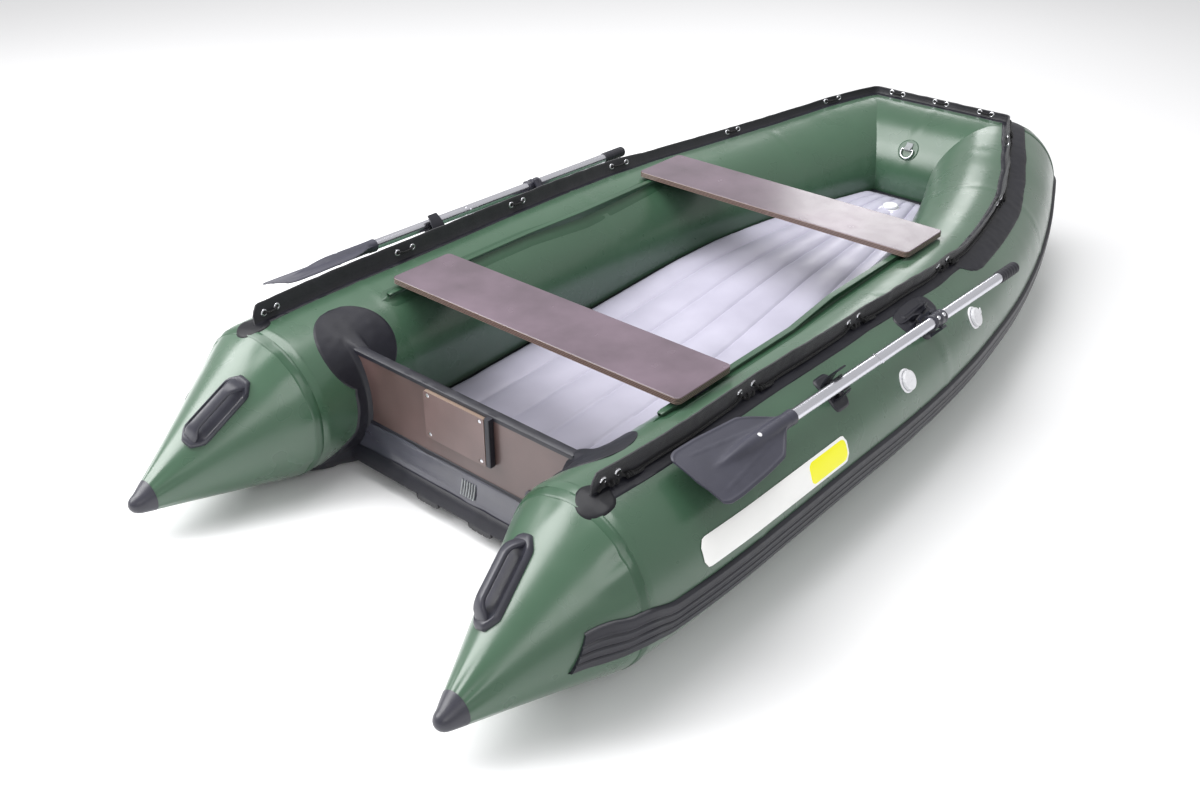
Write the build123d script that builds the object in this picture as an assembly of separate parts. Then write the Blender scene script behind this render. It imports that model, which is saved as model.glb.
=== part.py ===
"""Inflatable boat, 3.5 m long, with a plywood transom, two benches and two oars.

Millimetres. +Z up, bow towards -Y, stern towards +Y, port side +X, starboard side -X.
Origin: on the ground, at the middle of the boat's length and beam.
Side pieces are modelled to port and mirrored to starboard.
"""
from build123d import *
from collections import namedtuple
import math
import os

os.makedirs("parts", exist_ok=True)

# ---------------------------------------------------------------- hull dimensions
LENGTH = 3500.0
TUBE_R = 231.0          # side and bow tube outside radius
FABRIC = 1.6            # coated fabric wall
STRAKE_T = 12.0         # rub strake thickness
FIT = 0.05              # radial clearance of every turning pin
GAP = 0.3               # clearance between a tube and what is trimmed to it
EMBED = 4.0             # depth strips are drawn into the tube before trimming

BOW_Y = -LENGTH / 2 + STRAKE_T + TUBE_R   # centre line of the bow cross tube
BOW_X = 266.0           # half width of the bow cross tube's centre line
BOW_Z = 309.0
BOW_DIR = 22.8          # degrees off +Y, side tube heading at the bow corner
BOW_TURN = 90.0 - BOW_DIR

SEAM_Y = 1262.0         # where the stern cone starts
SEAM_Z = 239.0
SEAM_SLOPE = -0.09      # dx/dy of the centre line at the seam
CONE_TIP = Vector(594.0, 1722.0, 118.0)
CONE_TIP_R = 26.0

# stern cone: (y, radius, centre z)
CONE = [(SEAM_Y, TUBE_R, SEAM_Z), (1285, 228.5, 236), (1310, 221, 229), (1391, 183, 207),
        (1568, 99, 159), (CONE_TIP.Y, CONE_TIP_R, CONE_TIP.Z)]

# side tube centre line, port side: (y, x, z)
SIDE = [(BOW_Y, BOW_X, BOW_Z), (-1400, 309, 300), (-1300, 349, 286), (-1180, 392, 266),
        (-1000, 447, 247), (-850, 485, 239), (-650, 527, 234), (-450, 559, 234),
        (-200, 590, 236), (50, 606, 238), (300, 613, 239), (900, 613, 239),
        (1060, 609, 239), (SEAM_Y, 595, SEAM_Z)]

# y of the side tube's loft sections
TUBE_YS = [BOW_Y, -1450, -1400, -1350, -1300, -1240, -1180, -1090, -1000, -925, -850, -750,
           -650, -550, -450, -325, -200, -75, 50, 175, 300, 500, 700, 900, 980, 1060, 1140,
           1200, SEAM_Y]
# the cone's loft sections, as fractions from seam to tip
CONE_TS = [0.0, 0.025, 0.05, 0.075, 0.1, 0.14, 0.2, 0.28, 0.4, 0.55, 0.7, 0.85, 1.0]


# ------------------------------------------------------------------- curves
def monotone_curve(table, column, first, last):
    """Monotone cubic through a table's column over y; returns y -> (value, slope)."""
    ys = [row[0] for row in table]
    values = [row[column] for row in table]
    steps = [b - a for a, b in zip(ys, ys[1:])]
    chords = [(b - a) / h for a, b, h in zip(values, values[1:], steps)]
    slopes = [first]
    for i in range(1, len(table) - 1):
        before, after = chords[i - 1], chords[i]
        if before * after <= 0:
            slopes.append(0.0)
        else:
            w1 = 2 * steps[i] + steps[i - 1]
            w2 = steps[i] + 2 * steps[i - 1]
            slopes.append((w1 + w2) / (w1 / before + w2 / after))
    slopes.append(last)

    def curve(y):
        y = max(ys[0], min(ys[-1], y))
        i = 0
        while i < len(ys) - 2 and y > ys[i + 1]:
            i += 1
        h = steps[i]
        t = (y - ys[i]) / h
        a, b = values[i], values[i + 1]
        m0, m1 = slopes[i], slopes[i + 1]
        value = ((2 * t**3 - 3 * t**2 + 1) * a + (t**3 - 2 * t**2 + t) * h * m0
                 + (-2 * t**3 + 3 * t**2) * b + (t**3 - t**2) * h * m1)
        slope = ((6 * t**2 - 6 * t) * a / h + (3 * t**2 - 4 * t + 1) * m0
                 + (-6 * t**2 + 6 * t) * b / h + (3 * t**2 - 2 * t) * m1)
        return value, slope

    return curve


side_x = monotone_curve(SIDE, 1, math.tan(math.radians(BOW_DIR)), SEAM_SLOPE)
side_z = monotone_curve(SIDE, 2, 0.0, 0.0)
cone_radius = monotone_curve(CONE, 1, 0.0, -0.47)
cone_z = monotone_curve(CONE, 2, 0.0, -0.27)


def eased(table, y):
    """Value at y from rows of (y, value), with a smooth step between rows."""
    if y <= table[0][0]:
        return table[0][1]
    for (y0, v0), (y1, v1) in zip(table, table[1:]):
        if y <= y1:
            t = (y - y0) / (y1 - y0)
            return v0 + (v1 - v0) * (t * t * (3 - 2 * t))
    return table[-1][1]


# ----------------------------------------------------------------- stations
# A cross-section of the tube; heading runs along it, outward and up span the section.
Station = namedtuple("Station", "centre heading outward up radius", defaults=[TUBE_R])
UP = Vector(0, 0, 1)
CORNER = Vector(BOW_X, BOW_Y, BOW_Z)


def centre(y):
    return side_x(y)[0], side_z(y)[0]


def station(y):
    """Station on the port side tube."""
    x, dx = side_x(y)
    z, dz = side_z(y)
    heading = Vector(dx, 1, dz).normalized()
    outward = Vector(heading.Y, -heading.X, 0).normalized()
    return Station(Vector(x, y, z), heading, outward, outward.cross(heading))


def corner_station(angle):
    """Station at the bow corner, heading turned by angle from the bow tube's line."""
    a = math.radians(angle)
    heading = Vector(math.cos(a), math.sin(a), 0)
    return Station(CORNER, heading, Vector(heading.Y, -heading.X, 0), UP)


def bow_station(x):
    return Station(Vector(x, BOW_Y, BOW_Z), Vector(1, 0, 0), Vector(0, -1, 0), UP)


def cone_station(t):
    """Station on the stern cone, t from 0 at the seam to 1 at the tip."""
    x0 = centre(SEAM_Y)[0]
    y = SEAM_Y + (CONE_TIP.Y - SEAM_Y) * t
    middle = Vector(x0 + (CONE_TIP.X - x0) * t, y, cone_z(y)[0])
    heading = Vector(SEAM_SLOPE * (1 - t), 1, 0).normalized()
    outward = Vector(heading.Y, -heading.X, 0)
    return Station(middle, heading, outward, UP, cone_radius(y)[0])


def radial(st, phi):
    """Direction away from the centre line, phi degrees above outward."""
    a = math.radians(phi)
    return st.outward * math.cos(a) + st.up * math.sin(a)


def ring_point(st, phi, rho, sideways=0.0):
    """Point at distance rho from the centre line, shifted towards growing phi."""
    return st.centre + radial(st, phi) * rho + radial(st, phi + 90) * sideways


def frame_at(origin, z_dir, x_dir):
    return Plane(origin=origin, x_dir=x_dir, z_dir=z_dir).location


def station_frame(st):
    return frame_at(st.centre, st.heading, st.outward)


# ------------------------------------------------------------------- helpers
def mirror_x(shape):
    return mirror(shape, about=Plane.YZ)


def mirror_points(points):
    return [Vector(-p.X, p.Y, p.Z) for p in points]


def both_sides(*shapes):
    return [side for shape in shapes for side in (shape, mirror_x(shape))]


def cut_both(shape, tool):
    """Cut the shape with a port tool and its mirror image."""
    return shape - tool - mirror_x(tool)


def largest(shape):
    return sorted(shape.solids(), key=lambda s: -s.volume)[0]


def middle_solid(shape):
    return sorted(shape.solids(), key=lambda s: abs(s.center().X))[0]


def loft_polygons(polygons):
    wires = [Wire.make_polygon([Vector(p) for p in polygon], close=True)
             for polygon in polygons]
    return Solid.make_loft(wires, True)


def loft_circles(stations, radii, ruled):
    wires = [Wire.make_circle(r, Plane(origin=st.centre, x_dir=st.outward, z_dir=st.heading))
             for st, r in zip(stations, radii)]
    return Solid.make_loft(wires, ruled)


def cylinder_y(x, y, z, radius, length):
    """Cylinder along Y, centred on the point."""
    return Pos(x, y, z) * Rot(90, 0, 0) * Cylinder(radius, length)


def save(name, *shapes):
    solids = [solid for shape in shapes for solid in shape.solids()]
    out = solids[0] if len(solids) == 1 else Compound(children=solids)
    out.label = name
    export_step(out, "parts/" + name + ".step")


def save_sides(pattern, port_shape):
    """Save a port piece and its starboard mirror image in separate files."""
    save(pattern.format("port"), port_shape)
    save(pattern.format("starboard"), mirror_x(port_shape))


# -------------------------------------------------------------------- tubes
SIDE_DIR = Vector(math.sin(math.radians(BOW_DIR)), math.cos(math.radians(BOW_DIR)), 0)
MITRE_N = (SIDE_DIR - Vector(-1, 0, 0)).normalized()   # points to the side tube's half


def tube_along(r_out, r_in=0.0, y0=None, y1=None):
    """Round tube along the side's centre line, solid or hollow, whole or from y0 to y1."""
    ys = [y for y in TUBE_YS if (y0 is None or y > y0 + 5) and (y1 is None or y < y1 - 5)]
    if y0 is not None:
        ys = [y0] + ys
    if y1 is not None:
        ys = ys + [y1]
    stations = [station(y) for y in ys]
    out = loft_circles(stations, [r_out] * len(ys), False)
    if r_in > 0:
        out = out - loft_circles(stations, [r_in] * len(ys), False)
    return out


def mitre_half(normal):
    """Big box filling the side of the mitre plane that the normal points to."""
    size = 8000
    return (Plane(origin=CORNER, z_dir=normal).location * Pos(0, 0, size / 2)
            * Box(size, size, size))


def ring_sketch(r_out, r_in):
    sketch = Circle(r_out)
    return sketch - Circle(r_in) if r_in > 0 else sketch


def bow_corner(r_out, r_in):
    """Rounded port corner: a half disc turned about the corner's upright axis."""
    a = math.radians(-BOW_DIR)
    outward = Vector(math.cos(a), math.sin(a), 0)
    plane = Plane(origin=CORNER, x_dir=outward, z_dir=outward.cross(UP))
    half = ring_sketch(r_out, r_in) & (Pos(r_out, 0) * Rectangle(2 * r_out, 4 * r_out))
    return revolve(plane * half, axis=Axis(CORNER, Vector(0, 0, -1)),
                   revolution_arc=BOW_TURN)


def bow_solid(r_out, r_in=0.0):
    plane = Plane(origin=(-BOW_X, BOW_Y, BOW_Z), z_dir=(1, 0, 0))
    tube = extrude(plane * ring_sketch(r_out, r_in), amount=2 * BOW_X)
    tube = tube - mitre_half(MITRE_N)
    tube = mirror_x(mirror_x(tube) - mitre_half(MITRE_N))
    corner = bow_corner(r_out, r_in)
    return tube + corner + mirror_x(corner)


def bow_cylinder(radius):
    """Plain cylinder on the bow tube's centre line, for trimming."""
    return Pos(0, BOW_Y, BOW_Z) * Rot(0, 90, 0) * Cylinder(radius, 2 * BOW_X + 300)


def cone_solid(extra, end=1.0):
    """Stern cone grown by extra, from the seam to the fraction end."""
    stations = [cone_station(t) for t in [t for t in CONE_TS if t < end] + [end]]
    return loft_circles(stations, [st.radius + extra for st in stations], True)


save_sides("{}_tube", tube_along(TUBE_R, TUBE_R - FABRIC) - mitre_half(MITRE_N * -1))
save("bow_tube", bow_solid(TUBE_R, TUBE_R - FABRIC))
save("stern_cones", *both_sides(cone_solid(0.0) - cone_solid(-FABRIC)))

# solid tools for trimming what touches the tubes
side_tool = tube_along(TUBE_R + GAP)
bow_tool = bow_cylinder(TUBE_R + GAP)
bow_skin = bow_solid(TUBE_R + GAP)
cone_tool = cone_solid(GAP)


def trim_to_side(shape):
    return largest(shape - side_tool)


def seam_tape():
    """Tape around the tube just before the cone, open at the lacing strip and strake."""
    width = 22
    tape = Pos(0, 0, width / 2) * (Cylinder(TUBE_R + 2.2, width) - Cylinder(TUBE_R + 0.5, width))
    reach = 400
    for phi0, phi1 in ((74.0, 90.0), (-20.0, 11.5)):
        # the frame's y points down, so the angles change sign
        corners = [(reach * math.cos(a), reach * math.sin(a))
                   for a in (-math.radians(phi0), -math.radians(phi1))]
        tape = tape - extrude(make_face(Polyline((0, 0), *corners, (0, 0))), amount=60)
    tape = station_frame(station(SEAM_Y - width)) * tape
    return Compound(children=list(tape.solids()))


def cone_cap():
    """Moulded cap on the cone's tip: flange, body and tapered end."""
    return Pos(CONE_TIP) * Rot(-90, 0, 0) * (
        Pos(0, 0, 2) * Cylinder(28, 4) + Pos(0, 0, 14) * Cone(25.5, 21, 20)
        + Pos(0, 0, 26) * Cone(21, 15, 4))


def chamber_baffle():
    """Domed diaphragm that parts a side tube into two air chambers."""
    rim = TUBE_R - FABRIC - 0.2
    profile = Polyline((0, 70), (rim * 0.4, 62), (rim * 0.75, 36), (rim, 0), (rim, -1.5),
                       (rim * 0.75 - 1, 34), (rim * 0.4, 60.4), (0, 68.5), (0, 70))
    dome = revolve(Plane.XZ * make_face(profile), axis=Axis.Z)
    return station_frame(station(-50.0)) * dome


save("seam_tapes", *both_sides(seam_tape()))
save("cone_caps", *both_sides(cone_cap()))
save("chamber_baffles", *both_sides(chamber_baffle()))

# ------------------------------------------------------------ floor and skin
FLOOR_AFT_Y = 1052
FLOOR_WALL = 1.8
SKIN_T = 2.0
VALVE_BORE = 14         # radius of the air passage
FLOOR_VALVE = Pos(-35, -1150, 243.9)

# side profiles: (y, z)
FLOOR_TOP = [(FLOOR_AFT_Y, 114.5), (700, 125), (400, 142), (70, 162), (-120, 186),
             (-314, 212), (-480, 228), (-750, 238), (-1067, 243), (-1330, 245)]
FLOOR_BOTTOM = [(FLOOR_AFT_Y, 54), (0, 54), (-500, 58), (-900, 78), (-1150, 100), (-1330, 128)]
SKIN_TOP = [(1130, 50.0), (0, 50.0), (-500, 54), (-900, 73.5), (-1150, 95), (-1400, 128)]
# y where the plan outline follows the tubes' centre lines
PLAN_YS = [1135, 900, 300, 50, -200, -450, -650, -850, -1000, -1180, -1300, -1400, BOW_Y]


def centre_plan():
    """Upright prism between the tubes' centre lines."""
    port = [(centre(y)[0], y) for y in PLAN_YS]
    starboard = [(-x, y) for x, y in reversed(port)]
    return extrude(make_face(Polyline(port + starboard + port[:1])), amount=700)


def slab_across(top, bottom):
    """Side profile extruded across the boat."""
    points = [(0, y, z) for y, z in top + bottom[::-1]]
    face = make_face(Polyline(points + points[:1]))
    return extrude(face, amount=620, both=True, dir=(1, 0, 0))


def between_tubes(shape, inset=0.0):
    """The part of the shape enclosed by the side and bow tubes grown by inset."""
    radius = TUBE_R + GAP + inset
    return largest(cut_both(shape & centre_plan(), tube_along(radius)) - bow_cylinder(radius))


def inflatable_floor():
    floor = between_tubes(slab_across(FLOOR_TOP, FLOOR_BOTTOM))
    aft = FLOOR_AFT_Y - FLOOR_WALL
    top = [(min(y, aft), z - FLOOR_WALL) for y, z in FLOOR_TOP]
    bottom = [(min(y, aft), z + FLOOR_WALL) for y, z in FLOOR_BOTTOM]
    hollow = between_tubes(slab_across(top, bottom), FLOOR_WALL)
    return floor - hollow - FLOOR_VALVE * Cylinder(VALVE_BORE, 30)


def bottom_skin():
    return between_tubes(slab_across(SKIN_TOP, [(y, z - SKIN_T) for y, z in SKIN_TOP]))


def tube_wear_strip():
    """Rubber strip under the side tube; the boat stands on it."""
    half_width, height = 28, 22
    sections = []
    for y in (-720, -500, -200, 50, 300, 900, 1060, 1190):
        x0, x1 = centre(y)[0] - half_width, centre(y)[0] + half_width
        sections.append([(x0, y, 0), (x1, y, 0), (x1, y, height), (x0, y, height)])
    return trim_to_side(loft_polygons(sections))


bottom_strip = Pos(103, 300, 41) * Box(86, 1640, 13.6)
save("inflatable_floor", inflatable_floor())
save("bottom_skin", bottom_skin())
save("wear_strips", *both_sides(tube_wear_strip(), bottom_strip))

# ------------------------------------------------------------------ transom
TRANSOM_T = 25.0
TRANSOM_FRONT_Y = 1075.0
TRANSOM_REAR_Y = TRANSOM_FRONT_Y + TRANSOM_T
TRANSOM_MID_Y = (TRANSOM_FRONT_Y + TRANSOM_REAR_Y) / 2
TRANSOM_TOP_Z = 396.0
TRANSOM_BOTTOM_Z = 62.0
PAD_W, PAD_H, PAD_Z = 228.0, 146.0, 313.0
OUTER_PAD_T, INNER_PAD_T = 14.0, 8.0
SCREW_R = 3.0
SCREW_PLACES = [(x, z) for x in (-98.0, 98.0) for z in (252.0, 374.0)]
STOP_X, STOP_Z = -130, 322
STOP_W, STOP_D, STOP_H = 18, 20, 146
DRAIN_X, DRAIN_Z = -268.0, 204.0
DRAIN_BORE, DRAIN_SLEEVE_R = 10, 14


def stern_tube(extra, r_in=0.0):
    """Stretch of the side tube around the transom, grown by extra."""
    return tube_along(TUBE_R + extra, r_in, 980, 1200)


board_blank = Pos(0, TRANSOM_MID_Y, (TRANSOM_TOP_Z + TRANSOM_BOTTOM_Z) / 2) * Box(
    1120, TRANSOM_T, TRANSOM_TOP_Z - TRANSOM_BOTTOM_Z)
holder_zone = stern_tube(33.0)
screw_holes = [cylinder_y(x, 1090, z, SCREW_R + 0.25, 160) for x, z in SCREW_PLACES]


def transom_board():
    board = middle_solid(cut_both(board_blank, stern_tube(7.0)))
    for hole in screw_holes:
        board = board - hole
    return board - cylinder_y(DRAIN_X, 1088, DRAIN_Z, DRAIN_SLEEVE_R + 0.2, 60)


def motor_pad(y, thickness):
    pad = Pos(0, y, PAD_Z) * Box(PAD_W, thickness, PAD_H)
    pad = fillet(pad.edges().filter_by(Axis.Y), 6)
    for hole in screw_holes:
        pad = pad - hole
    return pad


def outer_motor_pad():
    """Pad on the board's rear face, with pockets for the screw heads."""
    pad = motor_pad(TRANSOM_REAR_Y + OUTER_PAD_T / 2, OUTER_PAD_T)
    for x, z in SCREW_PLACES:
        pad = pad - cylinder_y(x, TRANSOM_REAR_Y + OUTER_PAD_T, z, 7.0, 9.2)
    return pad


def motor_pad_screw(x, z):
    """Head aft in its pocket, hexagonal nut in front of the inner pad."""
    head = Pos(x, TRANSOM_REAR_Y + OUTER_PAD_T - 3.0, z) * Rot(-90, 0, 0) * (
        Cylinder(6.5, 3) + Pos(0, 0, 2.2) * Cone(6.5, 4.0, 1.4))
    shaft = cylinder_y(x, 1083.0, z, SCREW_R, 57)
    half_nut = 2.5
    nut = Pos(x, TRANSOM_FRONT_Y - INNER_PAD_T - half_nut, z) * Rot(90, 0, 0) * extrude(
        RegularPolygon(5.5, 6), amount=half_nut, both=True)
    return head + shaft + nut


def motor_stop_bar():
    bar = Pos(STOP_X, TRANSOM_REAR_Y + STOP_D / 2 + 0.2, STOP_Z) * Box(STOP_W, STOP_D, STOP_H)
    return fillet(bar.edges().filter_by(Axis.Z), 4)


def transom_top_trim():
    """Rubber profile along the board's top edge, cut clear of holders, pads and bar."""
    trim = Pos(0, TRANSOM_MID_Y, TRANSOM_TOP_Z - 5) * Box(1000, TRANSOM_T + 5, 16) - board_blank
    trim = cut_both(trim, holder_zone)
    pads = Pos(0, TRANSOM_MID_Y, PAD_Z) * Box(PAD_W + 0.6, 80, PAD_H + 0.6)
    pads = pads + Pos(STOP_X, TRANSOM_REAR_Y + STOP_D / 2, STOP_Z) * Box(
        STOP_W + 0.6, STOP_D + 0.4, STOP_H + 0.6)
    return largest(trim - (pads - board_blank))


def transom_holder():
    """Moulded holder: a round patch on the tube with a U channel for the board's end."""
    channel = tube_along(TUBE_R + 32.0, TUBE_R + GAP, 1056, 1119)
    channel = channel & (Pos(430, 1087, 277.5) * Box(330, 130, 311))
    board_slot = Pos(0, TRANSOM_MID_Y, 230) * Box(1400, TRANSOM_T, 460) - stern_tube(6.8)
    channel = channel - board_slot
    patch_y = 1078
    disc = Pos(450, patch_y, 312) * Rot(0, 90, 0) * Cylinder(136, 300)
    leg = Pos(450, patch_y, 222) * Box(300, 150, 200)
    patch = tube_along(TUBE_R + 2.6, TUBE_R + GAP, 925, 1238)
    patch = patch & (disc + leg) & (Pos(0, patch_y, 300) * Box(2 * 598, 600, 600))
    return channel + patch


def transom_apron():
    """Fabric apron from the board's rear face down to the bottom skin."""
    front_y = TRANSOM_REAR_Y + 0.6
    profile = Polyline((0, front_y, 176), (0, 1103.2, 177), (0, 1132, 58), (0, 1132, 50.4),
                       (0, 1128, 50.4), (0, front_y, 168), (0, front_y, 176))
    apron = extrude(make_face(profile), amount=480, both=True, dir=(1, 0, 0))
    return middle_solid(cut_both(apron, holder_zone))


def drain_sleeve():
    """Flanged sleeve through the board."""
    flange = cylinder_y(DRAIN_X, TRANSOM_REAR_Y + 2.1, DRAIN_Z, 24, 4)
    sleeve = flange + cylinder_y(DRAIN_X, 1087, DRAIN_Z, DRAIN_SLEEVE_R, 30)
    return sleeve - cylinder_y(DRAIN_X, 1087, DRAIN_Z, DRAIN_BORE, 80)


def drain_plug():
    """Plug that pulls out aft."""
    head = cylinder_y(DRAIN_X, TRANSOM_REAR_Y + 7.5, DRAIN_Z, 16, 6)
    return head + cylinder_y(DRAIN_X, 1096, DRAIN_Z, DRAIN_BORE - FIT, 20)


save("transom_board", transom_board())
save("motor_pad_outer", outer_motor_pad())
save("motor_pad_inner", motor_pad(TRANSOM_FRONT_Y - INNER_PAD_T / 2, INNER_PAD_T))
save("motor_pad_screws", *[motor_pad_screw(x, z) for x, z in SCREW_PLACES])
save("motor_stop_bar", motor_stop_bar())
save("transom_top_trim", transom_top_trim())
save_sides("transom_holder_{}", transom_holder())
save("transom_apron", transom_apron())
save("drain_sleeve", drain_sleeve())
save("drain_plug", drain_plug())

# ------------------------------------------------------------ rails, benches
BENCH_L, BENCH_W, BENCH_T = 1064.0, 231.0, 18.0
BENCH_Z = 472.0         # bench underside
REAR_BENCH_Y = 731.5
FRONT_BENCH_Y = -423.5
RAIL_WEB, RAIL_HEAD = 4, 10        # half widths
# rail's T head under each bench: (x, underside z, top z)
REAR_HEAD = (505, 457.0, 461.0)
FRONT_HEAD = (485, 462.5, 466.0)


def bench_rail():
    """T rail on the tube's inboard side."""
    web, head = RAIL_WEB, RAIL_HEAD
    sections = []
    for y, (x, z0, z1) in ((891, REAR_HEAD), (300, REAR_HEAD), (60, FRONT_HEAD),
                           (-520, FRONT_HEAD)):
        sections.append([(x - web, y, 425), (x + web, y, 425), (x + web, y, z0),
                         (x + head, y, z0), (x + head, y, z1), (x - head, y, z1),
                         (x - head, y, z0), (x - web, y, z0)])
    return trim_to_side(loft_polygons(sections))


def bench(y):
    board = Pos(0, y, BENCH_Z + BENCH_T / 2) * Box(BENCH_L, BENCH_W, BENCH_T)
    board = fillet(board.edges().filter_by(Axis.Z), 16)
    return fillet(board.faces().sort_by(Axis.Z)[-1].edges(), 3)


def bench_slide(rail_head, y0, y1, bottom):
    """Block under the bench that wraps the rail's head with 0.5 mm play."""
    x, z0, z1 = rail_head
    play = 0.5
    z0, z1 = z0 - play, z1 + play
    outer, head, web = 16, RAIL_HEAD + play, RAIL_WEB + 0.6
    profile = Polyline(
        (x - outer, bottom), (x - web, bottom), (x - web, z0), (x - head, z0), (x - head, z1),
        (x + head, z1), (x + head, z0), (x + web, z0), (x + web, bottom), (x + outer, bottom),
        (x + outer, BENCH_Z), (x - outer, BENCH_Z), (x - outer, bottom))
    plane = Plane(origin=(0, y1, 0), x_dir=(1, 0, 0), z_dir=(0, -1, 0))
    return extrude(plane * make_face(profile), amount=y1 - y0)


save("bench_rails", *both_sides(bench_rail()))
save("rear_bench", bench(REAR_BENCH_Y))
save("rear_bench_slides", *both_sides(bench_slide(REAR_HEAD, 701, 761, 453)))
save("front_bench", bench(FRONT_BENCH_Y))
save("front_bench_slides", *both_sides(bench_slide(FRONT_HEAD, -450, -410, 459)))

# --------------------------------------------------- lacing strip, eyelets
BAND_T, FLAP_T = 2.4, 4.0
STRIP_R = TUBE_R + 0.5  # heights on the strip are measured from here
FLAP_FOOT = 3.5         # degrees from the flap to the band's edge or flat
# (y, degrees the flap stands outboard of the tube's crest)
LEAN = [(BOW_Y, 6), (-1400, 7.5), (-1300, 10), (-1150, 14), (-950, 17.5), (-500, 17.5),
        (-300, 14), (0, 9), (200, 6.5), (700, 4.5), (1275, 5)]
# (y, flap height)
FLAP = [(BOW_Y, 36), (-1100, 38), (-500, 40), (-300, 50), (200, 54), (700, 59), (1275, 59)]
# (y, degrees the band reaches outboard of the flap)
BAND = [(BOW_Y, 17), (-1300, 19), (-900, 21), (-440, 20), (-390, 9.5), (1275, 9.5)]
# (y, eyelet height)
EYELET_H = [(BOW_Y, 20), (-1100, 21), (-500, 23), (-300, 26), (200, 29), (734, 29),
            (1150, 25), (1275, 23)]
# y of the strip's sections on the side tube
STRIP_YS = [-1440, -1400, -1350, -1300, -1250, -1200, -1150, -1100, -1050, -1000, -950, -900,
            -850, -800, -740, -680, -620, -560, -500, -460, -440, -420, -400, -380, -320,
            -250, -180, -110, -40, 30, 100, 200, 300, 450, 600, 750, 900, 1000, 1060, 1120,
            1190, 1240]
# eyelets stand in pairs: y on the side tubes, x on the bow tube
EYELET_YS = [1234, 1188, 734, 675, 232, 178, -277, -350, -870, -925, -1330, -1378]
EYELET_XS = [-215, -165, -25, 25, 165, 215]

seam = station(SEAM_Y)
strip_end = seam._replace(centre=seam.centre + seam.heading * 10)


def flap_phi(st):
    return 90 - eased(LEAN, st.centre.Y)


def strip_section(st):
    """Cross-section of the strip: a band on the tube and an upright flap."""
    phi = flap_phi(st)
    under, band = TUBE_R - EMBED, STRIP_R + BAND_T
    top = STRIP_R + eased(FLAP, st.centre.Y)
    reach = eased(BAND, st.centre.Y) - FLAP_FOOT
    side = FLAP_T / 2
    points = [ring_point(st, phi + FLAP_FOOT, under), ring_point(st, phi + FLAP_FOOT, band),
              ring_point(st, phi, band, side), ring_point(st, phi, top, side),
              ring_point(st, phi, top, -side), ring_point(st, phi, band, -side)]
    angles = [phi - FLAP_FOOT - reach * i / 5 for i in range(6)]
    points += [ring_point(st, a, band) for a in angles]
    points += [ring_point(st, a, under) for a in reversed(angles)]
    return points


def on_mitre(points, direction):
    """Slide points along the direction onto the bow corner's mitre plane."""
    return [p + direction * ((CORNER - p).dot(MITRE_N) / direction.dot(MITRE_N))
            for p in points]


def side_lacing_strip():
    sections = [on_mitre(strip_section(corner_station(BOW_TURN)), SIDE_DIR)]
    sections += [strip_section(station(y)) for y in STRIP_YS]
    sections.append(strip_section(strip_end))
    return largest(loft_polygons(sections) - side_tool - cone_tool - bow_skin)


def bow_lacing_strip():
    port_end = on_mitre(strip_section(bow_station(0)), Vector(1, 0, 0))
    return largest(loft_polygons([mirror_points(port_end), port_end]) - bow_tool)


def eyelet_frame(st):
    phi = flap_phi(st)
    origin = ring_point(st, phi, STRIP_R + eased(EYELET_H, st.centre.Y))
    return frame_at(origin, radial(st, phi + 90), st.heading)


def flanged_cylinder(radius, length, flange_r, flange_t, flange_gap):
    """Cylinder with a flange on each face of the flap."""
    z = FLAP_T / 2 + flange_gap
    return (Cylinder(radius, length) + Pos(0, 0, z) * Cylinder(flange_r, flange_t)
            + Pos(0, 0, -z) * Cylinder(flange_r, flange_t))


def eyelet(frame):
    return frame * (flanged_cylinder(6.0, FLAP_T + 3.0, 9.5, 1.2, 0.9) - Cylinder(4.6, 20))


def punch(strip, frames):
    """Cut the eyelets' holes and flange clearances."""
    for frame in frames:
        strip = strip - frame * flanged_cylinder(6.3, 14, 9.9, 2.4, 1.4)
    return strip


def strip_end_patch():
    """Round patch on the cone over the strip's stern end."""
    st = cone_station(0.05)
    normal = radial(st, 80)
    disc = frame_at(st.centre + normal * (st.radius - 8), normal, st.heading) * (
        Pos(0, 0, 7) * Cylinder(46, 14))
    ahead = frame_at(strip_end.centre + strip_end.heading * 2, strip_end.heading,
                     strip_end.outward) * Pos(0, 0, -100) * Box(1200, 1200, 200)
    return largest((disc & (cone_solid(2.8, 0.42) - cone_solid(GAP, 0.42))) - ahead)


side_frames = [eyelet_frame(station(y)) for y in EYELET_YS]
bow_frames = [eyelet_frame(bow_station(x)) for x in EYELET_XS]
side_eyelets = [eyelet(frame) for frame in side_frames]
save_sides("lacing_strip_{}", punch(side_lacing_strip(), side_frames))
save("lacing_strip_bow", punch(bow_lacing_strip(), bow_frames))
save("lacing_eyelets", *both_sides(*side_eyelets), *[eyelet(frame) for frame in bow_frames])
save("strip_end_patches", *both_sides(strip_end_patch()))

# ---------------------------------------------------------------- grab line
CORD_R = 4.0
CORD_YS = [-1280, -1180, -1080, -980, -820, -720, -620, -520, -420, -180, -80, 20, 130, 320,
           420, 520, 620, 770, 850, 950, 1050, 1150]


def cord_point(st, height, off):
    """Point beside the flap, off its middle on the outboard side."""
    return ring_point(st, flap_phi(st), STRIP_R + height, -off)


def smooth(points, per):
    """Catmull-Rom points through the given ones, per of them to each span."""
    out = []
    for i in range(len(points) - 1):
        p0, p1 = points[max(i - 1, 0)], points[i]
        p2, p3 = points[i + 1], points[min(i + 2, len(points) - 1)]
        for j in range(per):
            t = j / per
            out.append((p1 * 2 + (p2 - p0) * t + (p0 * 2 - p1 * 5 + p2 * 4 - p3) * t**2
                        + (p1 * 3 - p0 - p2 * 3 + p3) * t**3) * 0.5)
    return out + [points[-1]]


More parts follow.
